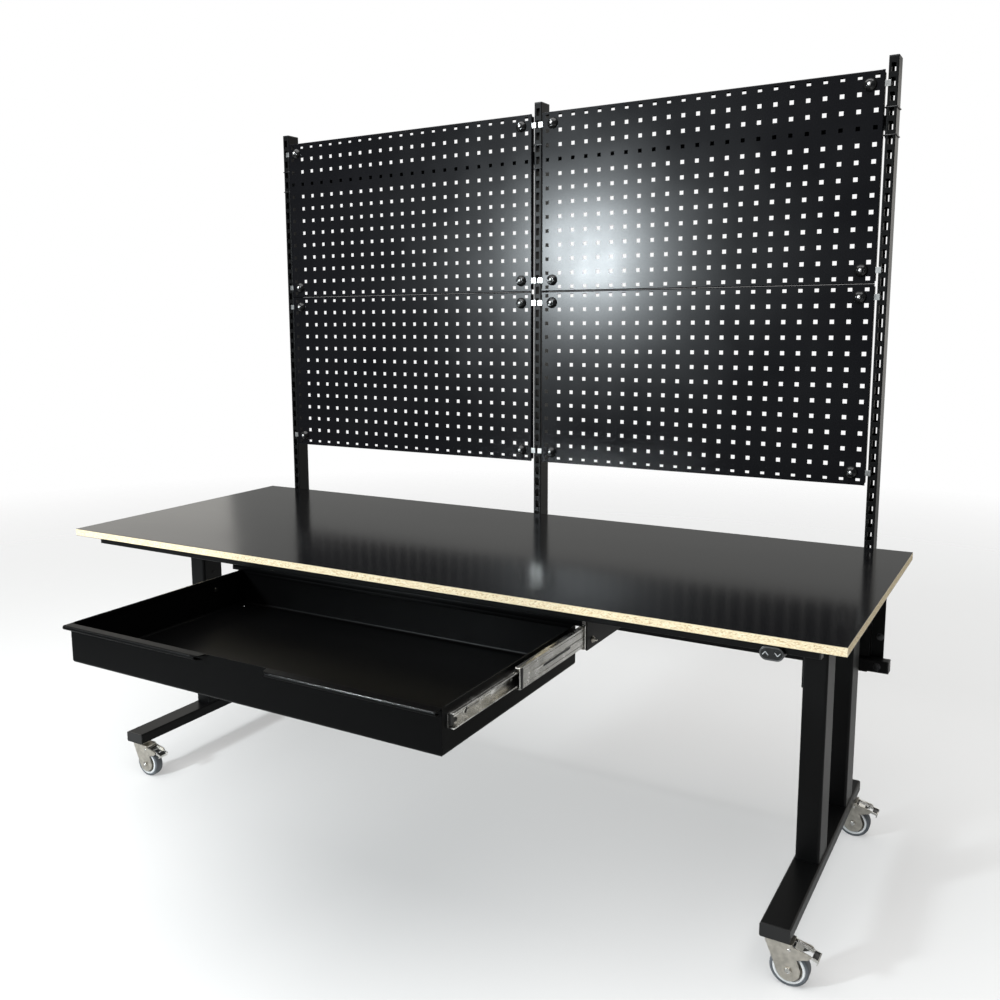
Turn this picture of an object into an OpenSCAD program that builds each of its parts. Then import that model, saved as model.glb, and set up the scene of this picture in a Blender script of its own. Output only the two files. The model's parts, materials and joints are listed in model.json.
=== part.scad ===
// Height-adjustable assembly table with a wide drawer, perforated back panels and locking castors.
// It stands at its lowest height with the drawer pulled fully out.
// The floor is at z = 0, +Y points to the back, and the origin is under the middle of the whole table.

/* [Worktop] */
// Width of the worktop
top_w = 2000; // [1700:10:2400]
// Depth of the worktop
top_d = 800; // [760:5:1000]
// Thickness of the worktop with its laminate
top_t = 18; // [12:1:40]
// Thickness of each laminate sheet
laminate_t = 0.8; // [0.4:0.1:1.5]
// Height of the worktop above the floor at its lowest
top_height = 715; // [700:5:800]

/* [Frame] */
// Height of the frame rails and beams under the worktop
rail_h = 25; // [20:1:40]
// Depth of the front and rear rails
rail_d = 20; // [15:1:40]
// Distance of the rails from the worktop's front and rear edges
rail_inset = 40; // [20:1:80]
// Width of the side beams
beam_w = 50; // [40:1:70]
// Wall of the rails, beams and crossbars
frame_wall = 2; // [1.5:0.1:3]
// Thickness of the plastic end caps
cap_t = 3; // [2:0.5:6]

/* [Legs] */
// Distance between the centres of the two feet
leg_spacing = 1770; // [1600:10:1860]
// Width of a foot tube
foot_w = 58; // [50:1:80]
// Height of a foot tube
foot_h = 28; // [24:1:50]
// Length of a foot with its end caps
foot_l = 720; // [640:5:800]
// Distance of the foot's front end behind the worktop's front edge
foot_setback = 59; // [20:1:90]
// Wall of a foot tube
foot_wall = 2.5; // [2:0.1:4]
// Width of an outer column
col_w = 50; // [46:1:70]
// Depth of an outer column
col_d = 80; // [70:1:100]
// Wall of an outer column
col_wall = 2.5; // [2:0.1:4]
// Distance of the rear column's centre in front of the worktop's rear edge
col_inset = 145; // [135:5:200]
// Distance between the front and rear column centres
col_spacing = 290; // [200:5:310]
// Lift of the worktop
lift = 350; // [200:10:380]
// Height of the head that joins an inner column to its beam
head_h = 31.5; // [20:0.5:60]
// Height of the guide plate at the top of an outer column
guide_h = 134; // [60:1:200]
// Thickness of the guide plate
guide_t = 3.5; // [2:0.5:6]
// Diameter of a lifting spindle
spindle_d = 14; // [10:1:16]

/* [Castors] */
// Height from the floor to the foot
castor_h = 100; // [98:1:120]
// Wheel diameter
wheel_d = 75; // [70:1:77]
// Tyre width
tyre_w = 25; // [20:1:28]
// Diameter of the rim that carries the tyre
rim_d = 59; // [50:1:62]
// Distance of the axle behind the swivel axis
trail = 24.3; // [18:0.1:30]
// Distance of a castor's swivel axis from the foot's end
castor_inset = 32; // [28:1:60]
// Axle bolt diameter
axle_d = 8; // [6:0.5:10]
// Thickness of the fork's pressed steel
fork_t = 2.5; // [2:0.1:3.5]
// Width of the brake pedal
pedal_w = 30; // [24:1:36]

/* [Uprights and crossbars] */
// Width of an upright
upright_w = 22; // [20:1:40]
// Depth of an upright
upright_d = 50; // [40:1:60]
// Length of an upright
upright_l = 1455; // [1300:5:1600]
// Height of the uprights' lower ends above the floor
upright_z = 400; // [380:5:430]
// Wall of an upright
upright_wall = 2; // [1.5:0.1:3]
// Width of the hook slots in an upright
slot_w = 10; // [8:0.5:12]
// Height of the hook slots
slot_h = 20; // [18:1:24]
// Pitch of the hook slots
slot_pitch = 32; // [30:1:40]
// Height of the upper crossbar
upper_bar_h = 32; // [25:1:40]
// Depth of the upper crossbar
upper_bar_d = 20; // [15:1:30]
// Distance of the upper crossbar's centre below the uprights' tops
upper_bar_drop = 144; // [100:1:300]
// Height and depth of the lower crossbar
lower_bar = 30; // [25:1:35]
// Height of the lower crossbar's underside above the uprights' lower ends
lower_bar_z = 13; // [5:1:30]
// Length of the lower crossbar past the outer uprights
lower_bar_over = 53; // [20:1:60]
// Wire diameter of the rings that hold the upper crossbar's ends
ring_d = 2.75; // [2:0.05:3]

/* [Perforated panels] */
// Width of a panel
panel_w = 868; // [830:1:900]
// Height of a panel
panel_h = 479.4; // [440:0.1:500]
// Sheet thickness of a panel
panel_t = 1.25; // [0.8:0.05:2]
// Depth of a panel's folded edges
panel_flange = 15; // [10:1:25]
// Height of the lips behind a panel's top and bottom edges
panel_lip = 8; // [4:0.5:12]
// Side of the square holes
hole_w = 10; // [8:0.5:12]
// Pitch of the square holes
hole_pitch = 38; // [36:1:50]
// Gap between an upper and a lower panel
panel_gap = 0.6; // [0.3:0.1:6]
// Gap between a panel and an upright
panel_side_gap = 5; // [5:0.5:10]
// Distance of the panels' top edges below the uprights' tops
panel_drop = 30.3; // [20:0.1:80]
// Distance that the panels stand proud of the uprights
panel_proud = 6; // [5:0.5:12]
// Gap between the worktop's rear edge and the plane of the panels' faces
back_gap = 3; // [1:0.5:20]
// Diameter of a clamping knob
knob_d = 30; // [26:1:32]
// Height of a clamping knob
knob_h = 13; // [10:0.5:20]

/* [Drawer] */
// Width of the drawer tray
tray_w = 910; // [600:10:1100]
// Depth of the drawer tray
tray_d = 510; // [505:1:560]
// Height of the drawer tray
tray_h = 85; // [75:1:100]
// Sheet thickness of the tray
tray_t = 1.2; // [0.8:0.1:2]
// Outer radius of the tray's bends
tray_r = 7; // [4:0.5:12]
// Sideways offset of the drawer from the middle of the table
drawer_x = 15; // [-60:1:60]
// Height of the tray's underside above the floor
tray_z = 573.5; // [560:0.5:580]
// Distance that the drawer pulls out
drawer_travel = 500; // [300:10:500]
// Length of the left pull lip
lip_left_l = 385; // [200:5:400]
// Length of the right pull lip
lip_right_l = 370; // [200:5:400]
// Distance that the pull lips stand out from the front
lip_out = 20; // [14:1:30]

/* [Drawer slides] */
// Length of the slide members
slide_l = 500; // [500:10:520]
// Space between the tray and the slide hanger
slide_t = 20; // [19:0.5:24]
// Height of the fixed outer member
outer_h = 53; // [51:1:60]
// Sheet thickness of the members
member_t = 1.5; // [1:0.1:1.8]
// Distance that the middle member comes out
middle_travel = 276; // [250:1:280]
// Ball diameter
ball_d = 5; // [4:0.1:5.2]
// Height of the slides' centre line above the tray's underside
slide_rise = 59.5; // [45:0.5:60]
// Thickness of the slide hangers
hanger_t = 2.5; // [2:0.1:4]

/* [Hand switch] */
// Width of the switch's oval face
switch_w = 44; // [40:1:60]
// Height of the switch's oval face
switch_h = 26; // [22:1:30]
// Distance of the switch from the middle of the table
switch_x = 866; // [700:1:900]
// Diameter of a button
button_d = 14; // [10:0.5:15]

/* [Hidden] */
$fn = 64;

// Extra length of every cut past the wall it goes through
cut = 2;
// Gap between pieces that pass each other
pass_gap = 0.5;
// Radial gap of pins and shafts that turn
turn_gap = 0.08;

// Main places, worked out from the reach in front of and behind the worktop's front edge
hanger_gap = 0.5;
outer_lead = 2;
tray_lead = 15.5;
clamp_t = 1.5;
ring_gap = 0.25;
front_reach = drawer_travel + tray_lead + outer_lead + lip_out - rail_inset - rail_d - hanger_gap;
rear_reach = top_d + back_gap + panel_proud + upright_d + ring_gap + ring_d;
front_y = (front_reach - rear_reach) / 2;
panel_y = front_y + top_d + back_gap;
upright_y = panel_y + panel_proud;
rail_front_y = front_y + rail_inset;
rail_rear_y = front_y + top_d - rail_inset - rail_d;
top_z = top_height - top_t;
rail_z = top_z - rail_h;
head_z = rail_z - head_h;

// Feet and columns
leg_x = leg_spacing / 2;
foot_y = front_y + foot_setback;
foot_top = castor_h + foot_h;
foot_r = 4;
cap_plug = 15;
cap_fit = 0.2;
cap_wall = 2;
col_rear_y = front_y + top_d - col_inset;
col_front_y = col_rear_y - col_spacing;
col_top = head_z - pass_gap;
col_r = 6;
glide_h = 60;
glide_wall = 2.2;
glide_gap = 0.3;
inner_w = col_w - 2 * (col_wall + glide_wall + glide_gap);
inner_d = col_d - 2 * (col_wall + glide_wall + glide_gap);
inner_wall = 2;
inner_r = 4;
inner_bottom_gap = 12;
inner_z = foot_top + inner_bottom_gap;
head_cap = 8;
inner_top = rail_z - head_cap;
guide_w = 60;
guide_screw_d = 8;
guide_screw_h = 1.5;
guide_screw_edge = 25;

// Lifting gear inside each column
motor_gap = 1;
motor_d = inner_w - 2 * inner_wall - 2 * motor_gap;
motor_h = 80;
gear_h = 35;
gear_d = motor_d + motor_gap;
gear_neck = 3;
gear_z = inner_top - motor_h - gear_h;
spindle_end_gap = 0.5;
spindle_top = gear_z - spindle_end_gap;
nut_h = 30;
nut_wall = 7;
nut_gap = 0.05;
nut_drop = 5;
nut_z = inner_z + lift + nut_drop;
post_wall = 5;
spindle_z = inner_z;

// Castors, measured from the swivel axis on the floor
axle_z = wheel_d / 2;
swivel_front_y = foot_y + castor_inset;
swivel_rear_y = foot_y + foot_l - castor_inset;
head_r = 23;
head_plate_t = 3;
race_h = 6;
race_r = 19;
race_lip_t = 2.5;
swivel_gap = 0.4;
stem_d = 12;
stem_fit = 0.2;
stem_nut_r = 11;
stem_nut_h = 9;
fork_top = castor_h - head_plate_t - race_h - swivel_gap;
fork_plate_z = fork_top - fork_t;
rivet_r = 9;
rivet_h = 3;
fork_side_gap = 3;
fork_inner = tyre_w / 2 + fork_side_gap;
fork_outer = fork_inner + fork_t;
leg_boss_r = 22;
leg_left = 21;
leg_right = 31;
wing_reach = 65;
wing_shares = [[0, 0.98], [0.48, 0.98], [0.95, 0.91], [1, 0.85], [0.92, 0.79], [0.51, 0.69]];
axle_fit = 0.05;
axle_head_h = 3;
axle_head_r = 7;
rim_w = 21;
rim_lip_w = 5;
rim_web_t = 7;
hub_r = 12;
tyre_round = 6;
pedal_pin_r = 2.4;
pedal_pin_lead = 1;
pedal_tyre_gap = 2.2;
pedal_pin = [trail + pedal_pin_lead, wheel_d + pedal_pin_r + pedal_tyre_gap];
pedal_t = 2;
pedal_slope = 17;
pedal_start = 7;
pedal_l = 54;
pedal_rise = 4;
pedal_lug_w = 24;
pedal_side_h = 3;
pedal_lip_l = 5;
pedal_window_w = 15;
pedal_window_l = 20;
pedal_window_x = 22;
pin_gap = 0.08;
pedal_lug_wall = 1.5;

// Uprights and crossbars
upright_top = upright_z + upright_l;
upright_pitch = panel_w + upright_w + 2 * panel_side_gap;
upright_r = 2;
upper_panel_z = upright_top - panel_drop - panel_h / 2;
lower_panel_z = upper_panel_z - panel_h - panel_gap;
slot_rise = 4;
slots_above = floor((upright_top - upper_panel_z - slot_h) / slot_pitch - 0.5);
slots_below = floor((upper_panel_z - upright_z - slot_h) / slot_pitch - 0.5);
upper_bar_z = upright_top - upper_bar_drop;
upper_bar_l = upright_pitch - upright_w - 2 * clamp_t;
lower_z = upright_z + lower_bar_z;
lower_bar_l = 2 * upright_pitch + upright_w + 2 * lower_bar_over;
bracket_t = 3;
bracket_w = 94;
rail_l = 2 * upright_pitch + bracket_w + 2 * cap_t;
lower_bar_y = upright_y - bracket_t - lower_bar;
arm_w = 36;
arm_foot = 15;
arm_curve_r = 620;
ring_out = upright_w / 2 + ring_gap + ring_d / 2;
ring_in = ring_out + clamp_t;
ring_bend = 3;
ring_bar_gap = 13.5;
ring_z = upper_bar_h / 2 + ring_bar_gap + ring_d / 2;
clamp_d = 44;
clamp_edge = 6;
bar_r = 2;

// Panels, clips and knobs
hole_cols = floor((panel_w - hole_w) / hole_pitch);
hole_rows = floor((panel_h - hole_w) / hole_pitch);
panel_r = 2;
corner_notch = 6;
knob_shift = 3;
knob_x = (hole_cols - 1) / 2 * hole_pitch + knob_shift;
knob_z = (hole_rows - 1) / 2 * hole_pitch;
stud_d = 8;
stud_fit = 0.2;
stud_end = 6;
clip_t = 2;
clip_h = 14;
clip_tongue_h = 9;
clip_tail = 12;
clip_hook = 4;
clip_fit = 0.3;
clip_slot_gap = 1;
clip_depth = panel_proud + upright_wall + clip_fit + clip_t - panel_t;
knob_dome_r = 16;
knob_dish_r = 4;
knob_dish_at = 7.5;
knob_dish_deep = 2.5;

// Drawer and slides
slide_z = tray_z + slide_rise;
hanger_x = tray_w / 2 + slide_t;
hanger_y = rail_front_y + rail_d + hanger_gap;
outer_y = hanger_y - outer_lead;
inner_y = outer_y - drawer_travel;
middle_y = outer_y - middle_travel;
tray_y = inner_y - tray_lead;
hanger_foot = 30;
hanger_below = 2;
lip_nose = 4.5;
lip_return = 9;
lip_sweep = 16;
tray_hole_d = 6;
tray_hole_in = 26;
race_gap = 0.15;
race_groove = ball_d / 2 + race_gap;
race_lip = 0.9;
ball_u = 11;
flange_u = 14.5;
middle_u = 3.2;
inner_flange_u = 7;
cage_t = 0.6;
outer_cage_u = 2.1;
inner_cage_u = 5.3;
cage_u_end = 14.1;
cage_hole_gap = 0.2;
outer_ball_v = outer_h / 2 - member_t - race_groove;
middle_top_v = outer_ball_v - race_groove;
inner_ball_v = middle_top_v - member_t - race_groove;
inner_top_v = inner_ball_v - race_groove;
outer_cage_l = 190;
inner_cage_l = 240;
cage_end = 10;
cage_pitch = 20;
slide_stop = 8;

// Hand switch and control box
switch_t = 9;
switch_back = 26;
switch_drop = 0.5;
switch_z = rail_z - switch_drop;
switch_gap = 0.3;
button_x = 11;
button_t = 3.3;
button_proud = 0.4;
button_well = 4.6;
box_w = 200;
box_d = 90;
box_h = 38;
box_gap = 20;
box_x = drawer_x + hanger_x + hanger_foot + box_gap + box_w / 2;
box_y = 480;
box_r = 5;
socket_w = 25;
socket_h = 12;
socket_pitch = 50;
socket_depth = 4;

// Colours
steel_black = [0.07, 0.07, 0.075];
panel_black = [0.11, 0.11, 0.12];
plastic_black = [0.05, 0.05, 0.05];
zinc = [0.74, 0.74, 0.72];
bright = [0.86, 0.86, 0.87];
brass = [0.75, 0.6, 0.3];
chip = [0.84, 0.73, 0.52];
rim_grey = [0.66, 0.64, 0.6];
tyre_grey = [0.38, 0.4, 0.43];
nylon = [0.9, 0.9, 0.86];

// Point where the line from p touches the circle round c, on the left (1) or right (-1) of the line
function touch(p, c, r, side) =
    let (d = norm(c - p), a = atan2(p.y - c.y, p.x - c.x) + side * acos(r / d))
    [c.x + r * cos(a), c.y + r * sin(a)];

// Centre of the circle of radius r through p and q, on the left of the line from p to q
function arc_centre(p, q, r) =
    let (m = (p + q) / 2, h = norm(q - p) / 2, n = [p.y - q.y, q.x - p.x] / (2 * h))
    m + n * sqrt(r * r - h * h);

// Centred rectangle with round corners
module round_rect(w, h, r) {
    square([w - 2 * r, h], center = true);
    square([w, h - 2 * r], center = true);
    for (sx = [-1, 1], sy = [-1, 1])
        translate([sx * (w / 2 - r), sy * (h / 2 - r)])
            circle(r);
}

// Section of a rectangular tube
module tube_section(w, h, r, t) {
    difference() {
        round_rect(w, h, r);
        round_rect(w - 2 * t, h - 2 * t, max(r - t, r / 4));
    }
}

// Carries a section drawn in x and z along y
module along_y(y, l) {
    translate([0, y + l, 0])
        rotate([90, 0, 0])
            linear_extrude(l)
                children();
}

// Carries a section drawn in y and z along x
module along_x(x, l) {
    translate([x, 0, 0])
        rotate([90, 0, 90])
            linear_extrude(l)
                children();
}

// Places a piece at each of the four columns, turned so that local -x faces the middle of the table
module at_columns() {
    for (side = [-1, 1], y = [col_front_y, col_rear_y])
        at_column(side, y)
            children();
}

module at_column(side, y) {
    translate([side * leg_x, y, 0])
        mirror([side < 0 ? 1 : 0, 0, 0])
            children();
}

// Places a piece at one castor; every castor trails the same way
module at_castor(side, y) {
    translate([side * leg_x, y, 0])
        children();
}

module at_castors() {
    for (side = [-1, 1], y = [swivel_front_y, swivel_rear_y])
        at_castor(side, y)
            children();
}

// Feet
module foot(side) {
    color(steel_black)
    difference() {
        translate([side * leg_x, 0, castor_h + foot_h / 2])
            along_y(foot_y + cap_t, foot_l - 2 * cap_t)
                tube_section(foot_w, foot_h, foot_r, foot_wall);
        for (y = [swivel_front_y, swivel_rear_y])
            translate([side * leg_x, y, castor_h - cut])
                cylinder(h = foot_wall + 2 * cut, d = stem_d + 2 * stem_fit);
    }
}

module left_foot() foot(-1);
module right_foot() foot(1);

// Cap for a tube end that faces -y, drawn with its outer face at y = 0
module tube_cap_y(w, h, r, wall, plug) {
    along_y(0, cap_t)
        round_rect(w, h, r);
    along_y(cap_t, plug)
        tube_section(w - 2 * wall - 2 * cap_fit, h - 2 * wall - 2 * cap_fit, r / 2, cap_wall);
}

// Cap for a tube end that faces -x, drawn with its outer face at x = 0
module tube_cap_x(d, h, r, wall, plug) {
    along_x(0, cap_t)
        round_rect(d, h, r);
    along_x(cap_t, plug)
        tube_section(d - 2 * wall - 2 * cap_fit, h - 2 * wall - 2 * cap_fit, r / 2, cap_wall);
}

module foot_caps() {
    color(plastic_black)
    for (side = [-1, 1], end = [0, 1])
        translate([side * leg_x, foot_y + end * foot_l, castor_h + foot_h / 2])
            mirror([0, end, 0])
                tube_cap_y(foot_w, foot_h, foot_r, foot_wall, cap_plug);
}

// Columns and what lifts them
module outer_columns() {
    color(steel_black)
    at_columns() {
        translate([0, 0, foot_top])
            linear_extrude(col_top - foot_top)
                tube_section(col_w, col_d, col_r, col_wall);
        translate([-col_w / 2 - guide_t, -guide_w / 2, col_top - guide_h])
            cube([guide_t + col_wall / 2, guide_w, guide_h]);
        for (z = [col_top - guide_screw_edge, col_top - guide_h + guide_screw_edge])
            translate([-col_w / 2 - guide_t - guide_screw_h, 0, z])
                rotate([0, 90, 0])
                    cylinder(h = guide_screw_h + guide_t / 2, d = guide_screw_d);
    }
}

module column_glides() {
    color(nylon)
    at_columns()
        translate([0, 0, col_top - glide_h])
            linear_extrude(glide_h)
                difference() {
                    round_rect(col_w - 2 * col_wall, col_d - 2 * col_wall, col_r - col_wall);
                    round_rect(inner_w + 2 * glide_gap, inner_d + 2 * glide_gap, inner_r + glide_gap);
                }
}

module inner_columns() {
    color(steel_black)
    at_columns()
        translate([0, 0, inner_z])
            linear_extrude(inner_top - inner_z)
                tube_section(inner_w, inner_d, inner_r, inner_wall);
}

module column_heads() {
    color(steel_black)
    at_columns()
        difference() {
            translate([0, 0, head_z])
                linear_extrude(head_h)
                    round_rect(col_w, col_d, col_r);
            translate([0, 0, head_z - cut])
                linear_extrude(inner_top - head_z + cut)
                    round_rect(inner_w, inner_d, inner_r);
        }
}

module lift_motors() {
    color(bright)
    at_columns() {
        translate([0, 0, gear_z + gear_h])
            cylinder(h = motor_h, d = motor_d);
        translate([0, 0, gear_z + gear_neck])
            cylinder(h = gear_h - gear_neck, d = gear_d);
        translate([0, 0, gear_z])
            cylinder(h = gear_neck, d = motor_d / 2);
    }
}

module spindle(side, y) {
    color(bright)
    at_column(side, y)
        translate([0, 0, spindle_z])
            cylinder(h = spindle_top - spindle_z, d = spindle_d);
}

module front_left_spindle() spindle(-1, col_front_y);
module front_right_spindle() spindle(1, col_front_y);
module rear_left_spindle() spindle(-1, col_rear_y);
module rear_right_spindle() spindle(1, col_rear_y);

module spindle_nuts() {
    color(brass)
    at_columns()
        translate([0, 0, nut_z])
            difference() {
                cylinder(h = nut_h, d = spindle_d + 2 * nut_wall);
                translate([0, 0, -cut])
                    cylinder(h = nut_h + 2 * cut, d = spindle_d + 2 * nut_gap);
            }
}

module nut_posts() {
    color(zinc)
    at_columns()
        translate([0, 0, foot_top])
            difference() {
                cylinder(h = nut_z - foot_top, d = spindle_d + 2 * nut_wall);
                translate([0, 0, -cut])
                    cylinder(h = nut_z - foot_top + 2 * cut, d = spindle_d + 2 * (nut_wall - post_wall));
            }
}

// Castors
module castor_heads() {
    color(zinc)
    at_castors() {
        translate([0, 0, castor_h - head_plate_t])
            cylinder(h = head_plate_t, r = head_r);
        difference() {
            translate([0, 0, fork_top + swivel_gap])
                cylinder(h = race_h, r = race_r);
            translate([0, 0, fork_top - cut])
                rotate_extrude()
                    translate([rivet_r, 0])
                        square([race_r - race_lip_t - rivet_r, race_h - head_plate_t / 2 + cut]);
        }
        translate([0, 0, fork_plate_z - swivel_gap])
            cylinder(h = castor_h - fork_plate_z + swivel_gap, d = stem_d - 2 * turn_gap);
        translate([0, 0, fork_plate_z - swivel_gap - rivet_h])
            cylinder(h = rivet_h, r = rivet_r);
        translate([0, 0, castor_h])
            cylinder(h = foot_wall, d = stem_d);
        translate([0, 0, castor_h + foot_wall])
            cylinder(h = stem_nut_h, r = stem_nut_r, $fn = 6);
    }
}

// Side view of one fork leg with the wing that shields the brake
module fork_leg_outline() {
    axle = [trail, axle_z];
    top_left = [-leg_left, fork_plate_z];
    top_right = [leg_right, fork_plate_z];
    polygon([top_left, touch(top_left, axle, leg_boss_r, 1), axle,
             touch(top_right, axle, leg_boss_r, -1), top_right]);
    translate(axle)
        circle(leg_boss_r);
    polygon([for (p = wing_shares) [p.x * wing_reach, p.y * fork_plate_z]]);
}

module castor_fork() {
    difference() {
        union() {
            translate([0, 0, fork_plate_z])
                linear_extrude(fork_t)
                    intersection() {
                        round_rect(2 * leg_right, 2 * fork_outer, fork_t);
                        translate([-leg_left, -fork_outer])
                            square([leg_left + leg_right, 2 * fork_outer]);
                    }
            for (side = [0, 1])
                mirror([0, side, 0])
                    along_y(fork_inner, fork_t)
                        fork_leg_outline();
        }
        translate([0, 0, fork_plate_z - cut])
            cylinder(h = fork_t + 2 * cut, d = stem_d);
        translate([trail, -fork_outer - cut, axle_z])
            rotate([-90, 0, 0])
                cylinder(h = 2 * (fork_outer + cut), d = axle_d + 2 * axle_fit);
        translate([pedal_pin.x, -fork_outer - cut, pedal_pin.y])
            rotate([-90, 0, 0])
                cylinder(h = 2 * (fork_outer + cut), r = pedal_pin_r + pin_gap);
    }
    translate([trail, -fork_outer, axle_z])
        rotate([-90, 0, 0])
            cylinder(h = 2 * fork_outer, d = axle_d);
    translate([trail, -fork_outer, axle_z])
        rotate([90, 0, 0])
            cylinder(h = axle_head_h, r = axle_head_r, $fn = 6);
    translate([trail, fork_outer, axle_z])
        rotate([-90, 0, 0])
            cylinder(h = axle_head_h, r = axle_head_r, $fn = 6);
}

module castor_wheel() {
    translate([trail, 0, axle_z])
        rotate([90, 0, 0])
            rotate_extrude()
                difference() {
                    union() {
                        translate([0, -rim_w / 2])
                            square([rim_d / 2, rim_w]);
                        translate([0, -tyre_w / 2])
                            square([hub_r, tyre_w]);
                    }
                    for (side = [0, 1])
                        mirror([0, side])
                            translate([hub_r, rim_web_t / 2])
                                square([rim_d / 2 - rim_lip_w - hub_r, rim_w]);
                    translate([0, -tyre_w])
                        square([axle_d / 2 + turn_gap, 2 * tyre_w]);
                }
}

module castor_tyre() {
    translate([trail, 0, axle_z])
        rotate([90, 0, 0])
            rotate_extrude()
                intersection() {
                    translate([rim_d / 2, -tyre_w / 2])
                        square([wheel_d / 2 - rim_d / 2, tyre_w]);
                    round_rect(wheel_d, tyre_w, tyre_round);
                }
}

// Pedal drawn flat and then tipped about its pin
module castor_pedal() {
    translate([pedal_pin.x, 0, pedal_pin.y])
        rotate([0, pedal_slope, 0]) {
            difference() {
                union() {
                    translate([pedal_start, -pedal_w / 2, pedal_rise])
                        cube([pedal_l - pedal_start, pedal_w, pedal_t]);
                    for (side = [0, 1])
                        mirror([0, side, 0])
                            translate([pedal_start, pedal_w / 2 - pedal_t, pedal_rise])
                                cube([pedal_l - pedal_start, pedal_t, pedal_t + pedal_side_h]);
                    translate([pedal_l - pedal_t, -pedal_w / 2, pedal_rise - pedal_lip_l])
                        cube([pedal_t, pedal_w, pedal_lip_l + pedal_t]);
                }
                translate([pedal_window_x, -pedal_window_w / 2, pedal_rise - cut])
                    cube([pedal_window_l, pedal_window_w, pedal_t + 2 * cut]);
            }
            for (side = [0, 1])
                mirror([0, side, 0])
                    along_y(pedal_lug_w / 2 - pedal_t, pedal_t) {
                        circle(pedal_pin_r + pedal_lug_wall);
                        polygon([[0, 0], [0, pedal_rise + pedal_t / 2],
                                 [pedal_start + pedal_l / 4, pedal_rise + pedal_t],
                                 [pedal_start + pedal_l / 4, pedal_rise]]);
                    }
            translate([0, -fork_outer, 0])
                rotate([-90, 0, 0])
                    cylinder(h = 2 * fork_outer, r = pedal_pin_r);
        }
}

module front_left_fork() color(zinc) at_castor(-1, swivel_front_y) castor_fork();
module front_right_fork() color(zinc) at_castor(1, swivel_front_y) castor_fork();
module rear_left_fork() color(zinc) at_castor(-1, swivel_rear_y) castor_fork();
module rear_right_fork() color(zinc) at_castor(1, swivel_rear_y) castor_fork();
module front_left_wheel() color(rim_grey) at_castor(-1, swivel_front_y) castor_wheel();
module front_right_wheel() color(rim_grey) at_castor(1, swivel_front_y) castor_wheel();
module rear_left_wheel() color(rim_grey) at_castor(-1, swivel_rear_y) castor_wheel();
module rear_right_wheel() color(rim_grey) at_castor(1, swivel_rear_y) castor_wheel();
module front_left_tyre() color(tyre_grey) at_castor(-1, swivel_front_y) castor_tyre();
module front_right_tyre() color(tyre_grey) at_castor(1, swivel_front_y) castor_tyre();
module rear_left_tyre() color(tyre_grey) at_castor(-1, swivel_rear_y) castor_tyre();
module rear_right_tyre() color(tyre_grey) at_castor(1, swivel_rear_y) castor_tyre();
module front_left_pedal() color(bright) at_castor(-1, swivel_front_y) castor_pedal();
module front_right_pedal() color(bright) at_castor(1, swivel_front_y) castor_pedal();
module rear_left_pedal() color(bright) at_castor(-1, swivel_rear_y) castor_pedal();
module rear_right_pedal() color(bright) at_castor(1, swivel_rear_y) castor_pedal();

// Frame under the worktop
module side_beams() {
    color(steel_black)
    for (side = [-1, 1])
        translate([side * leg_x, 0, rail_z + rail_h / 2])
            along_y(rail_front_y + rail_d, rail_rear_y - rail_front_y - rail_d)
                tube_section(beam_w, rail_h, bar_r, frame_wall);
}

module rail(y) {
    translate([0, y + rail_d / 2, rail_z + rail_h / 2])
        along_x(-rail_l / 2 + cap_t, rail_l - 2 * cap_t)
            tube_section(rail_d, rail_h, bar_r, frame_wall);
}

module front_rail() color(steel_black) rail(rail_front_y);
module rear_rail() color(steel_black) rail(rail_rear_y);

module worktop_board() {
    color(chip)
    translate([-top_w / 2, front_y, top_z + laminate_t])
        cube([top_w, top_d, top_t - 2 * laminate_t]);
}

module worktop_laminate() {
    color(plastic_black)
    for (z = [top_z, top_height - laminate_t])
        translate([-top_w / 2, front_y, z])
            cube([top_w, top_d, laminate_t]);
}

module control_box() {
    color(plastic_black)
    difference() {
        translate([box_x, front_y + box_y, top_z - box_h])
            linear_extrude(box_h)
                round_rect(box_w, box_d, box_r);
        for (i = [-1, 0, 1])
            translate([box_x + i * socket_pitch, front_y + box_y - box_d / 2 - cut, top_z - box_h / 2])
                rotate([-90, 0, 0])
                    linear_extrude(socket_depth + cut)
                        round_rect(socket_w, socket_h, bar_r);
    }
}

// Hand switch
module switch_oval(w, h) {
    square([w - h, h], center = true);
    for (side = [-1, 1])
        translate([side * (w - h) / 2, 0])
            circle(h / 2);
}

module switch_housing() {
    color(plastic_black)
    translate([switch_x, rail_front_y - switch_gap - switch_t, switch_z])
        difference() {
            union() {
                along_y(0, switch_t)
                    switch_oval(switch_w, switch_h);
                along_y(0, switch_t + switch_back)
                    intersection() {
                        switch_oval(switch_w, switch_h);
                        translate([-switch_w / 2, -switch_h])
                            square([switch_w, switch_h + switch_drop - switch_gap]);
                    }
            }
            for (side = [-1, 1])
                translate([side * button_x, -cut, 0])
                    rotate([-90, 0, 0])
                        cylinder(h = button_well + cut, d = button_d + 2 * switch_gap);
        }
}

module button(side) {
    color(plastic_black)
    translate([switch_x + side * button_x, rail_front_y - switch_gap - switch_t - button_proud, switch_z])
        rotate([-90, 0, 0])
            cylinder(h = button_t, d = button_d);
}

module up_button() button(-1);
module down_button() button(1);

// Uprights, crossbars and what clamps them
module uprights() {
    color(steel_black)
    for (i = [-1, 0, 1])
        translate([i * upright_pitch, upright_y + upright_d / 2, 0])
            difference() {
                translate([0, 0, upright_z])
                    linear_extrude(upright_l - cap_t)
                        tube_section(upright_w, upright_d, upright_r, upright_wall);
                for (k = [-slots_below - 1 : slots_above])
                    translate([-slot_w / 2, -upright_d / 2 - cut,
                               upper_panel_z + slot_rise + (k + 0.5) * slot_pitch - slot_h / 2])
                        cube([slot_w, upright_d + 2 * cut, slot_h]);
            }
}

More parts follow.
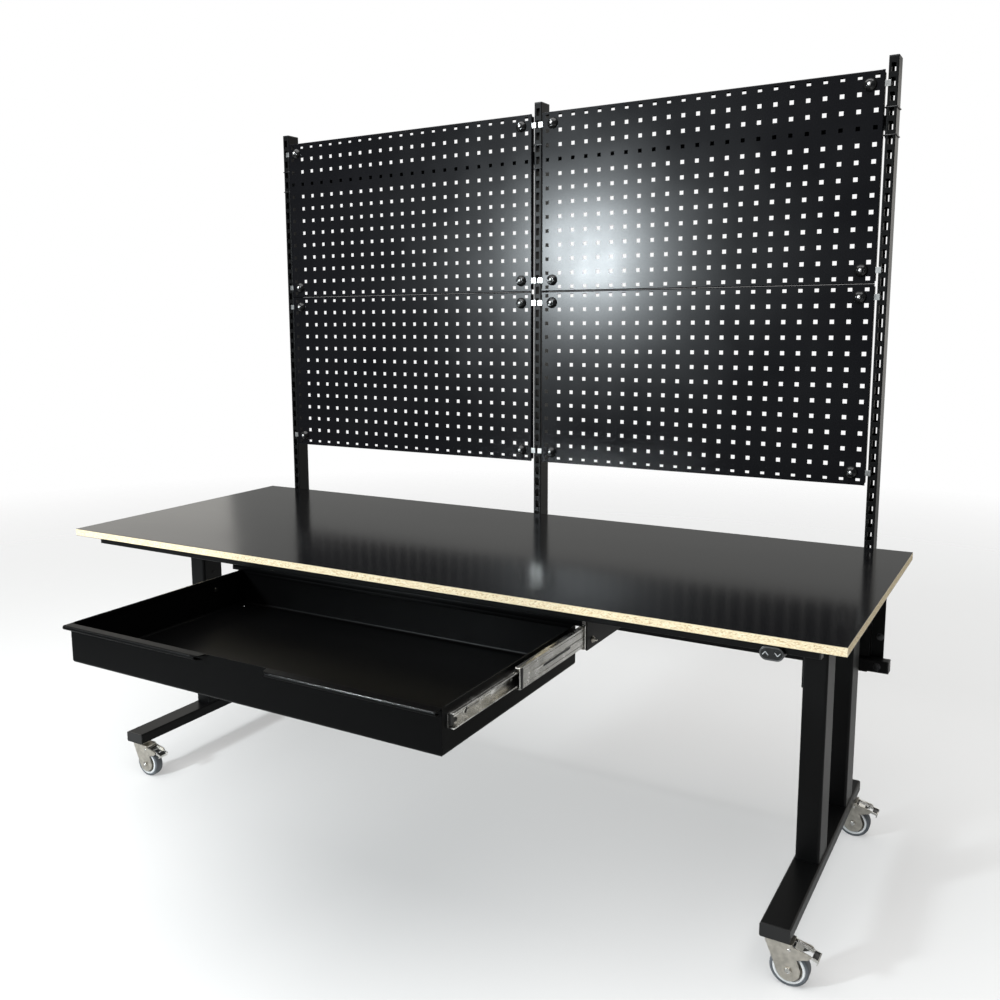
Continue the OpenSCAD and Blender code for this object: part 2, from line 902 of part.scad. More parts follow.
// Side view of the arm that carries an upright, in y from the plate's front face
module arm_outline(inset) {
    plate_y = upright_y - bracket_t;
    rail_back = rail_rear_y + rail_d;
    high = [rail_rear_y + inset, rail_z];
    low = [plate_y - arm_foot + inset, lower_z + lower_bar];
    under = inset > 0 ? cut : 0;
    difference() {
        polygon([[plate_y, top_z - inset], [rail_back + inset, top_z - inset],
                 [rail_back + inset, rail_z - inset],
                 [high.x, rail_z - inset], low, [low.x, low.y - under], [plate_y, low.y - under]]);
        translate(arc_centre(low, high, arm_curve_r))
            circle(arm_curve_r, $fn = 4 * $fn);
    }
}

module upright_brackets() {
    color(steel_black)
    for (i = [-1, 0, 1])
        translate([i * upright_pitch, 0, 0]) {
            translate([-bracket_w / 2, upright_y - bracket_t, lower_z])
                cube([bracket_w, bracket_t, top_z - lower_z]);
            difference() {
                along_x(-arm_w / 2, arm_w)
                    arm_outline(0);
                along_x(-arm_w / 2 + bracket_t, arm_w - 2 * bracket_t)
                    arm_outline(bracket_t);
            }
        }
}

module lower_crossbar() {
    color(steel_black)
    translate([0, lower_bar_y + lower_bar / 2, lower_z + lower_bar / 2])
        along_x(-lower_bar_l / 2 + cap_t, lower_bar_l - 2 * cap_t)
            tube_section(lower_bar, lower_bar, bar_r, frame_wall);
}

// Two lengths of tube, each between two uprights
module upper_crossbar() {
    color(steel_black)
    for (side = [-1, 1])
        translate([side * upright_pitch / 2, upright_y + upright_d / 2, upper_bar_z])
            along_x(-upper_bar_l / 2, upper_bar_l)
                tube_section(upper_bar_d, upper_bar_h, bar_r, frame_wall);
}

module bar_caps() {
    color(plastic_black) {
        for (side = [0, 1])
            mirror([side, 0, 0]) {
                for (y = [rail_front_y, rail_rear_y])
                    translate([-rail_l / 2, y + rail_d / 2, rail_z + rail_h / 2])
                        tube_cap_x(rail_d, rail_h, bar_r, frame_wall, cap_plug);
                translate([-lower_bar_l / 2, lower_bar_y + lower_bar / 2, lower_z + lower_bar / 2])
                    tube_cap_x(lower_bar, lower_bar, bar_r, frame_wall, cap_plug);
            }
        for (i = [-1, 0, 1])
            translate([i * upright_pitch, upright_y + upright_d / 2, upright_top - cap_t])
                linear_extrude(cap_t)
                    round_rect(upright_w, upright_d, upright_r);
    }
}

// Square wire ring round an upright; left and right are the places of its side legs
module clamp_ring(left, right) {
    front = -upright_d / 2 - ring_gap - ring_d / 2;
    for (end = [0, 1])
        mirror([0, end, 0]) {
            translate([left + ring_bend, front, 0])
                rotate([0, 90, 0])
                    cylinder(h = right - left - 2 * ring_bend, d = ring_d);
            translate([left + ring_bend, front + ring_bend, 0])
                rotate([0, 0, 180])
                    rotate_extrude(angle = 90)
                        translate([ring_bend, 0])
                            circle(d = ring_d);
            translate([right - ring_bend, front + ring_bend, 0])
                rotate([0, 0, -90])
                    rotate_extrude(angle = 90)
                        translate([ring_bend, 0])
                            circle(d = ring_d);
        }
    for (x = [left, right])
        translate([x, front + ring_bend, 0])
            rotate([-90, 0, 0])
                cylinder(h = -2 * (front + ring_bend), d = ring_d);
}

module clamp_bolts() {
    color(steel_black)
    for (i = [-1, 0, 1], z = [-ring_z, ring_z])
        translate([i * upright_pitch, upright_y + upright_d / 2, upper_bar_z + z])
            clamp_ring(i < 0 ? -ring_out : -ring_in, i > 0 ? ring_out : ring_in);
}

// End plates of the upper crossbar, flat against the uprights inside the rings
module clamp_plates() {
    color(steel_black)
    for (side = [-1, 1], end = [-1, 1])
        translate([side * upright_pitch / 2 + end * (upper_bar_l + clamp_t) / 2, upright_y + upright_d / 2,
                   upper_bar_z])
            along_x(-clamp_t / 2, clamp_t)
                round_rect(clamp_d, 2 * (ring_z + clamp_edge), bar_r);
}

// Perforated panels
module panel_edge(l, lip) {
    linear_extrude(l)
        union() {
            translate([0, panel_r])
                square([panel_t, panel_flange - panel_r]);
            translate([0, panel_flange - panel_t])
                square([lip, panel_t]);
            intersection() {
                translate([panel_r, panel_r])
                    difference() {
                        circle(panel_r);
                        circle(panel_r - panel_t);
                    }
                square(panel_r);
            }
        }
}

// One panel about its own centre, with its face at y = 0
module panel() {
    difference() {
        union() {
            along_y(0, panel_t)
                difference() {
                    union() {
                        square([panel_w - 2 * panel_r, panel_h - 2 * panel_r], center = true);
                        for (sx = [-1, 1], sz = [-1, 1])
                            translate([sx * (panel_w - corner_notch) / 2, sz * (panel_h - corner_notch) / 2])
                                square(corner_notch, center = true);
                    }
                    for (c = [-hole_cols / 2 : hole_cols / 2], r = [-hole_rows / 2 : hole_rows / 2])
                        translate([c * hole_pitch, r * hole_pitch])
                            square(hole_w, center = true);
                    for (sx = [-1, 1], sz = [-1, 1])
                        translate([sx * knob_x, sz * knob_z])
                            circle(d = stud_d + 2 * stud_fit);
                }
            for (side = [0, 1])
                mirror([side, 0, 0])
                    translate([-panel_w / 2, 0, -panel_h / 2 + corner_notch])
                        panel_edge(panel_h - 2 * corner_notch, panel_t);
            for (side = [0, 1])
                mirror([0, 0, side])
                    translate([panel_w / 2 - corner_notch, 0, -panel_h / 2])
                        rotate([0, -90, 0])
                            panel_edge(panel_w - 2 * corner_notch, panel_lip);
        }
        for (sx = [-1, 1], sz = [-1, 1])
            translate([sx * (panel_w / 2 - panel_t / 2), panel_t + clip_t / 2, sz * knob_z])
                cube([4 * panel_r, clip_t + 2 * clip_fit, clip_h + 2 * clip_fit], center = true);
    }
}

module panel_at(side, z) {
    color(panel_black)
    translate([side * upright_pitch / 2, panel_y, z])
        panel();
}

module upper_left_panel() panel_at(-1, upper_panel_z);
module upper_right_panel() panel_at(1, upper_panel_z);
module lower_left_panel() panel_at(-1, lower_panel_z);
module lower_right_panel() panel_at(1, lower_panel_z);

// Places a piece at each knob, turned so that local +x points to the nearest upright
module at_knobs() {
    for (side = [-1, 1], z = [upper_panel_z, lower_panel_z], sx = [-1, 1], sz = [-1, 1])
        translate([side * upright_pitch / 2 + sx * knob_x, panel_y, z + sz * knob_z])
            mirror([sx < 0 ? 1 : 0, 0, 0])
                children();
}

// Hook clip: flat behind the panel, through the folded edge, into the slot and round its wall
module panel_clips() {
    to_slot = upright_pitch / 2 - knob_x - slot_w / 2 + clip_slot_gap;
    deep = panel_t + clip_depth;
    color(bright)
    at_knobs()
        translate([0, 0, -clip_h / 2])
            difference() {
                union() {
                    linear_extrude(clip_h)
                        translate([-clip_tail, panel_t])
                            square([clip_tail + to_slot + clip_t, clip_t]);
                    translate([0, 0, (clip_h - clip_tongue_h) / 2])
                        linear_extrude(clip_tongue_h) {
                            translate([to_slot, panel_t])
                                square([clip_t, clip_depth]);
                            translate([to_slot - clip_hook, deep - clip_t])
                                square([clip_hook + clip_t, clip_t]);
                        }
                }
                translate([0, panel_t - cut, clip_h / 2])
                    rotate([-90, 0, 0])
                        cylinder(h = clip_t + 2 * cut, d = stud_d + 2 * stud_fit);
            }
}

module panel_knobs() {
    color(plastic_black)
    at_knobs() {
        rotate([90, 0, 0])
            rotate_extrude()
                difference() {
                    intersection() {
                        square([knob_d / 2, knob_h]);
                        translate([0, knob_h - knob_dome_r])
                            circle(knob_dome_r);
                    }
                    translate([knob_dish_at, knob_h + knob_dish_r - knob_dish_deep])
                        circle(knob_dish_r);
                }
        rotate([-90, 0, 0])
            cylinder(h = stud_end, d = stud_d);
    }
}

// Places a slide piece on both sides; local x = 0 is the hanger's face and +x points to the tray
module at_slides() {
    for (side = [0, 1])
        translate([drawer_x, 0, 0])
            mirror([side, 0, 0])
                translate([-hanger_x, 0, 0])
                    children();
}

module slide_hangers() {
    color(steel_black)
    at_slides() {
        translate([-hanger_t, hanger_y, slide_z - outer_h / 2 - hanger_below])
            cube([hanger_t, slide_l, top_z - slide_z + outer_h / 2 + hanger_below]);
        translate([-hanger_foot, hanger_y, top_z - hanger_t])
            cube([hanger_foot, slide_l, hanger_t]);
    }
}

// A flange of a slide member from u0 to u1 and v0 to v1, mirrored above and below, grooved for its balls
module flanges(u0, u1, v0, v1) {
    for (side = [0, 1])
        mirror([0, side])
            difference() {
                translate([u0, v0])
                    square([u1 - u0, v1 - v0]);
                for (v = [outer_ball_v, inner_ball_v])
                    translate([ball_u, v])
                        circle(race_groove);
            }
}

module outer_members() {
    color(bright)
    at_slides()
        translate([0, 0, slide_z])
            along_y(outer_y, slide_l) {
                translate([0, -outer_h / 2])
                    square([member_t, outer_h]);
                flanges(0, flange_u, outer_h / 2 - member_t - race_lip, outer_h / 2);
            }
}

module middle_members() {
    color(bright)
    at_slides()
        translate([0, 0, slide_z])
            along_y(middle_y, slide_l) {
                translate([middle_u, -middle_top_v])
                    square([member_t, 2 * middle_top_v]);
                flanges(middle_u, flange_u, middle_top_v - member_t - race_lip, middle_top_v + race_lip);
            }
}

module inner_members() {
    color(bright)
    at_slides()
        translate([0, 0, slide_z])
            along_y(inner_y, slide_l) {
                translate([slide_t - member_t, -inner_top_v])
                    square([member_t, 2 * inner_top_v]);
                flanges(inner_flange_u, slide_t, inner_top_v - member_t, inner_top_v + race_lip);
            }
}

// Ball cage with its two rows of balls
module ball_cage(u, v, y, l) {
    count = floor((l - 2 * cage_end) / cage_pitch);
    first = y + l / 2 - count * cage_pitch / 2;
    translate([0, 0, slide_z]) {
        difference() {
            along_y(y, l) {
                translate([u, -v - cage_t / 2])
                    square([cage_t, 2 * v + cage_t]);
                for (side = [-1, 1])
                    translate([u, side * v - cage_t / 2])
                        square([cage_u_end - u, cage_t]);
            }
            for (i = [0 : count], side = [-1, 1])
                translate([ball_u, first + i * cage_pitch, side * v - cage_t])
                    cylinder(h = 2 * cage_t, d = ball_d + 2 * cage_hole_gap);
        }
        for (i = [0 : count], side = [-1, 1])
            translate([ball_u, first + i * cage_pitch, side * v])
                sphere(d = ball_d);
    }
}

module outer_cages() {
    color(zinc)
    at_slides()
        ball_cage(outer_cage_u, outer_ball_v, outer_y + slide_stop, outer_cage_l);
}

module inner_cages() {
    color(zinc)
    at_slides()
        ball_cage(inner_cage_u, inner_ball_v, middle_y + slide_stop, inner_cage_l);
}

// Section of a tray: a rectangle from z = 0 upwards with round lower corners
module tray_section(w, h, r) {
    translate([-w / 2, r])
        square([w, h - r]);
    translate([-w / 2 + r, 0])
        square([w - 2 * r, h]);
    for (side = [-1, 1])
        translate([side * (w / 2 - r), r])
            circle(r);
}

module tray_block(w, d, h, r) {
    intersection() {
        along_y(-d / 2, d)
            tray_section(w, h, r);
        along_x(-w / 2, w)
            tray_section(d, h, r);
    }
}

// Section of a pull lip in y and z, from the front wall's top at y = 0
module lip_section() {
    translate([-lip_out + lip_nose, -tray_t])
        square([lip_out - lip_nose + tray_t, tray_t]);
    translate([-lip_out + lip_nose, -2 * lip_nose])
        square([lip_return, tray_t]);
    intersection() {
        translate([-lip_out + lip_nose, -lip_nose])
            difference() {
                circle(lip_nose);
                circle(lip_nose - tray_t);
            }
        translate([-lip_out, -2 * lip_nose])
            square([lip_nose, 2 * lip_nose]);
    }
}

// Lip that starts at the tray's corner and ends in a sweep, drawn towards +x
module pull_lip(l) {
    intersection() {
        along_x(0, l)
            lip_section();
        translate([0, 0, -3 * lip_nose])
            linear_extrude(4 * lip_nose) {
                translate([-l, -lip_out])
                    square([2 * l - lip_sweep, lip_out + tray_r]);
                translate([0, lip_sweep - lip_out])
                    square([l, lip_out]);
                translate([l - lip_sweep, lip_sweep - lip_out])
                    circle(lip_sweep);
            }
    }
}

module drawer_tray() {
    color(steel_black)
    translate([drawer_x, tray_y, tray_z]) {
        difference() {
            translate([0, tray_d / 2, 0])
                tray_block(tray_w, tray_d, tray_h, tray_r);
            translate([0, tray_d / 2, tray_t])
                tray_block(tray_w - 2 * tray_t, tray_d - 2 * tray_t, tray_h, tray_r - tray_t);
            for (side = [-1, 1])
                translate([side * (tray_w / 2 - tray_hole_in), tray_d - tray_hole_in, -cut])
                    cylinder(h = tray_t + 2 * cut, d = tray_hole_d);
        }
        translate([-tray_w / 2, 0, tray_h])
            pull_lip(lip_left_l);
        mirror([1, 0, 0])
            translate([-tray_w / 2, 0, tray_h])
                pull_lip(lip_right_l);
    }
}

left_foot();
right_foot();
foot_caps();
outer_columns();
column_glides();
nut_posts();
spindle_nuts();
castor_heads();
front_left_fork();
front_left_wheel();
front_left_tyre();
front_left_pedal();
front_right_fork();
front_right_wheel();
front_right_tyre();
front_right_pedal();
rear_left_fork();
rear_left_wheel();
rear_left_tyre();
rear_left_pedal();
rear_right_fork();
rear_right_wheel();
rear_right_tyre();
rear_right_pedal();
inner_columns();
column_heads();
lift_motors();
front_left_spindle();
front_right_spindle();
rear_left_spindle();
rear_right_spindle();
side_beams();
front_rail();
rear_rail();
worktop_board();
worktop_laminate();
control_box();
switch_housing();
up_button();
down_button();
uprights();
upright_brackets();
lower_crossbar();
upper_crossbar();
bar_caps();
clamp_bolts();
clamp_plates();
upper_left_panel();
upper_right_panel();
lower_left_panel();
lower_right_panel();
panel_clips();
panel_knobs();
slide_hangers();
outer_members();
middle_members();
inner_members();
outer_cages();
inner_cages();
drawer_tray();
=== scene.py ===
import json
import math
import bmesh
import bpy
import mathutils
import numpy as np
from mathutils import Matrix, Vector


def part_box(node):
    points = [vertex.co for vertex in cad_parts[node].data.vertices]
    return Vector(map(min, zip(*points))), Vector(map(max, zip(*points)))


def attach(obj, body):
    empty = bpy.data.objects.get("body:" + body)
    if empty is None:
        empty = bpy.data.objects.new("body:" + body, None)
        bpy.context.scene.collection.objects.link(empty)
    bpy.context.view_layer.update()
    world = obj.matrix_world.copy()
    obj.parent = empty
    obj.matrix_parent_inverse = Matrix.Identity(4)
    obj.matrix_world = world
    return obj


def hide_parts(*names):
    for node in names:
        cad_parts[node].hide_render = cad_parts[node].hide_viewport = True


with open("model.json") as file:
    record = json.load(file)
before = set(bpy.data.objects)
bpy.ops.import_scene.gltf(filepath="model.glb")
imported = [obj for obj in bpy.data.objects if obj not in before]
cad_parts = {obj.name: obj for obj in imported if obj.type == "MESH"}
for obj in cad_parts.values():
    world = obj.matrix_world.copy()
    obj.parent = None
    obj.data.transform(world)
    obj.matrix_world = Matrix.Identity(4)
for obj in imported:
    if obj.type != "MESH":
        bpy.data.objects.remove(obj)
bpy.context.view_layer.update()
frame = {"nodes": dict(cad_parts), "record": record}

scene = bpy.context.scene
mm = 0.001


# Millimetres to metres
def sizes(*lengths):
    return tuple(length * mm for length in lengths)


# Halfway between two numbers or places
def mid(low, high):
    return (low + high) / 2


# Camera: place and turn found from the panels' rows of holes and the worktop's corners
camera = dict(place=(1.2950, -1.9473, 1.2807), turn=(81.450, 0.594, 31.699), lens=36.216, sensor=36,
              shift=(0.0498, -0.0329))


def makeCamera(c):
    data = bpy.data.cameras.new("camera")
    data.lens = c["lens"]
    data.sensor_width = c["sensor"]
    data.shift_x, data.shift_y = c["shift"]
    obj = bpy.data.objects.new("camera", data)
    obj.location = c["place"]
    obj.rotation_euler = [math.radians(a) for a in c["turn"]]
    scene.collection.objects.link(obj)
    scene.camera = obj


makeCamera(camera)
print("camera set")


# A shader socket that can be used in sums; each operation adds its Math node
class Wire:
    def __init__(self, tree, socket):
        self.tree = tree
        self.socket = socket

    def maths(self, operation, first, second=0.0):
        made = self.tree.nodes.new("ShaderNodeMath")
        made.operation = operation
        for slot, value in zip(made.inputs, (first, second)):
            if isinstance(value, Wire):
                self.tree.links.new(value.socket, slot)
            else:
                slot.default_value = value
        return Wire(self.tree, made.outputs[0])

    def __add__(self, other):
        return self.maths("ADD", self, other)

    def __radd__(self, other):
        return self.maths("ADD", other, self)

    def __sub__(self, other):
        return self.maths("SUBTRACT", self, other)

    def __rsub__(self, other):
        return self.maths("SUBTRACT", other, self)

    def __mul__(self, other):
        return self.maths("MULTIPLY", self, other)

    def __rmul__(self, other):
        return self.maths("MULTIPLY", other, self)

    def __abs__(self):
        return self.maths("ABSOLUTE", self)


# The nodes of a material or world; node() adds any node but Math, settings first, then its sockets
class Finish:
    def __init__(self, owner, shader="Principled BSDF", coordinates="Object"):
        owner.use_nodes = True
        self.material = owner
        self.tree = owner.node_tree
        self.shader = self.tree.nodes[shader]
        self.place = self.node("ShaderNodeTexCoord", output=coordinates)

    def node(self, kind, settings=None, output=0, **sockets):
        made = self.tree.nodes.new(kind)
        for name, value in (settings or {}).items():
            if name == "stops":
                self.setStops(made.color_ramp, value)
            else:
                setattr(made, name, value)
        for name, value in sockets.items():
            self.feed(made.inputs[name.replace("_", " ")], value)
        return Wire(self.tree, made.outputs[output])

    def setStops(self, ramp, stops):
        while len(ramp.elements) < len(stops):
            ramp.elements.new(1.0)
        for element, (position, colour) in zip(ramp.elements, stops):
            element.position = position
            element.color = (*colour, 1.0)

    def feed(self, socket, value):
        if isinstance(value, Wire):
            self.tree.links.new(value.socket, socket)
        else:
            socket.default_value = value

    def set(self, **sockets):
        for name, value in sockets.items():
            self.feed(self.shader.inputs[name.replace("_", " ")], value)

    def noise(self, scale, detail=2.0, stretch=None):
        place = self.place
        if stretch:
            place = self.node("ShaderNodeMapping", Vector=self.place, Scale=stretch)
        return self.node("ShaderNodeTexNoise", Vector=place, Scale=scale, Detail=detail)

    def ramp(self, value, stops):
        return self.node("ShaderNodeValToRGB", {"stops": stops}, Fac=value)

    def step(self, value, low, high):
        return self.node("ShaderNodeMapRange", {"clamp": True}, Value=value, From_Min=low, From_Max=high)

    def along(self, axis):
        return self.node("ShaderNodeSeparateXYZ", output=axis, Vector=self.place)

    # Mix has several sockets of one name, so its share and colours go in by number
    def mix(self, share, a, b):
        made = self.node("ShaderNodeMix", {"data_type": "RGBA"}, output=2)
        inputs = made.socket.node.inputs
        for slot, value in zip((inputs[0], inputs[6], inputs[7]), (share, a, b)):
            if not isinstance(value, (Wire, float, int)) and len(value) == 3:
                value = (*value, 1.0)
            self.feed(slot, value)
        return made

    # Edge is the radius that sharp edges seem to have
    def bump(self, height, distance, edge=None):
        sockets = dict(Height=height, Distance=distance)
        if edge:
            sockets["Normal"] = self.node("ShaderNodeBevel", {"samples": 4}, Radius=edge)
        self.set(Normal=self.node("ShaderNodeBump", **sockets))


def newFinish(name):
    return Finish(bpy.data.materials.new(name))


# Powder coat: orange peel a millimetre wide, faint cloudy gloss and specks of dust; where two folded edges
# meet, fold gives the height of the joint and how far its line of painted shade reaches: there the coat turns
# metallic and rougher, so that its black colour stands in for the shade in the rounded bends
coatPattern = dict(cloud=6.0, specks=420.0, speckStep=(0.70, 0.76), seamShadeCore=0.6, seamShadeRough=0.5,
                   cloudRough=0.12, peelRough=0.05)


def powderCoat(name, p):
    f = newFinish(name)
    c = coatPattern
    peel = f.noise(p["peel"], detail=3.0)
    cloud = f.noise(c["cloud"], detail=4.0)
    specks = f.step(f.noise(c["specks"]), *c["speckStep"])
    tint = f.mix(cloud, p["dark"], p["light"])
    fold = 0.0
    # Painted shade along the seam: a metallic black, rougher coat in place of the shade of the bends
    if p.get("fold"):
        middle, reach = p["fold"]
        fold = 1.0 - f.step(abs(f.along("Z") - middle), c["seamShadeCore"] * reach, reach)
    f.set(Base_Color=f.mix(specks * p["specks"], tint, p["dust"]), Metallic=fold)
    f.set(Roughness=fold * c["seamShadeRough"] + p["roughness"] + c["cloudRough"] * (cloud - 0.5)
          + c["peelRough"] * (peel - 0.5))
    f.set(Specular_IOR_Level=p["gloss"])
    f.bump(peel, p["depth"], edge=p["edge"])
    return f.material


# Moulded plastic with a fine spark-eroded grain
plasticPattern = dict(cloud=14.0, cloudRough=0.15)


def grainPlastic(name, p):
    f = newFinish(name)
    grain = f.noise(p["grain"], detail=4.0)
    cloud = f.noise(plasticPattern["cloud"], detail=3.0)
    f.set(Base_Color=f.mix(cloud, p["dark"], p["light"]))
    f.set(Roughness=p["roughness"] + plasticPattern["cloudRough"] * (cloud - 0.5))
    f.bump(grain, p["depth"], edge=p["edge"])
    return f.material


# Zinc plate: blotches of tint, fine rolling lines along one direction, a few scratches; bend paints shade,
# a near black tint, near each multiple of a pitch along x, where a hook turns into its slot and lies in shade
zincPattern = dict(lines=60.0, scratches=25.0, scratchStretch=(9.0, 0.5, 14.0), scratchStep=(0.66, 0.7),
                   scratchShare=0.35, blotchStep=(0.35, 0.65), blotchRough=0.18, lineRough=0.10)


def zincPlate(name, p):
    f = newFinish(name)
    z = zincPattern
    blotch = f.noise(p["blotch"], detail=4.0)
    lines = f.noise(z["lines"], detail=4.0, stretch=p["grain"])
    scratch = f.step(f.noise(z["scratches"], detail=6.0, stretch=z["scratchStretch"]), *z["scratchStep"])
    tint = f.mix(f.step(blotch, *z["blotchStep"]), p["dark"], p["light"])
    # Painted shade: the tint goes to a near black where each hook turns into its slot
    if p.get("bend"):
        pitch, start, end, hookShade = p["bend"]
        across = f.along("X")
        away = across.maths("PINGPONG", across, pitch / 2)
        tint = f.mix(f.step(away, start, end), hookShade, tint)
    f.set(Base_Color=f.mix(z["scratchShare"] * scratch, tint, p["light"]), Metallic=1.0)
    f.set(Roughness=p["roughness"] + z["blotchRough"] * (blotch - 0.5) + z["lineRough"] * (lines - 0.5))
    f.bump(lines, p["depth"], edge=p["edge"])
    return f.material


# Turned or ground metal: rings of tool marks across the axis
turnedPattern = dict(marks=90.0, markRough=0.2)


def turnedMetal(name, p):
    f = newFinish(name)
    marks = f.noise(turnedPattern["marks"], detail=5.0, stretch=p["grain"])
    f.set(Base_Color=f.mix(marks, p["dark"], p["light"]), Metallic=1.0)
    f.set(Roughness=p["roughness"] + turnedPattern["markRough"] * (marks - 0.5))
    f.bump(marks, p["depth"], edge=p["edge"])
    return f.material


# Tyre rubber: matt and fine-grained, paler and rougher where it is scuffed
def tyreRubber(name, p):
    f = newFinish(name)
    scuff = f.noise(p["scuffs"], detail=5.0)
    grain = f.noise(p["grain"])
    f.set(Base_Color=f.mix(f.step(scuff, *p["scuffStep"]), p["dark"], p["light"]))
    f.set(Roughness=p["roughness"] + p["scuffRough"] * (scuff - 0.5))
    f.bump(grain + scuff, p["depth"])
    return f.material


# Chipboard: chips of two sizes lie flat, coarse in the middle of the board and fine near its faces
def chipBoard(name, p):
    f = newFinish(name)
    low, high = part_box("worktop_board")
    thick = high.z - low.z
    flat = f.node("ShaderNodeMapping", Vector=f.place, Scale=p["flatten"])
    bigTone, fineTone = [
        f.node("ShaderNodeSeparateColor",
               Color=f.node("ShaderNodeTexVoronoi", {"feature": "F1"}, "Color", Vector=flat, Scale=p[chips]))
        for chips in ("bigChips", "fineChips")]
    coreStart, coreEnd = p["coreShares"]
    core = 1.0 - f.step(abs(f.along("Z") - mid(low.z, high.z)), coreStart * thick, coreEnd * thick)
    tone = bigTone * core + fineTone * (1.0 - core)
    gaps = f.step(f.noise(p["gaps"], detail=3.0), *p["gapStep"])
    colour = f.ramp(tone, p["tones"])
    f.set(Base_Color=f.mix(p["gapShare"] * gaps, colour, p["gap"]), Roughness=p["roughness"])
    f.bump(tone + f.noise(p["grain"]), p["depth"])
    return f.material


# Laminate: fine satin grain with pale dust and a few smears
def laminateSheet(name, p):
    f = newFinish(name)
    grain = f.noise(p["grain"], detail=3.0)
    smear = f.noise(p["smears"], detail=5.0, stretch=p["smearStretch"])
    dust = f.step(f.noise(p["specks"], detail=3.0), *p["speckStep"]) * p["dustShare"]
    f.set(Base_Color=f.mix(dust, f.mix(smear, p["dark"], p["light"]), p["dust"]))
    f.set(Roughness=p["roughness"] + p["smearRough"] * (smear - 0.5), Specular_IOR_Level=p["gloss"])
    f.bump(grain, p["depth"], edge=p["edge"])
    return f.material


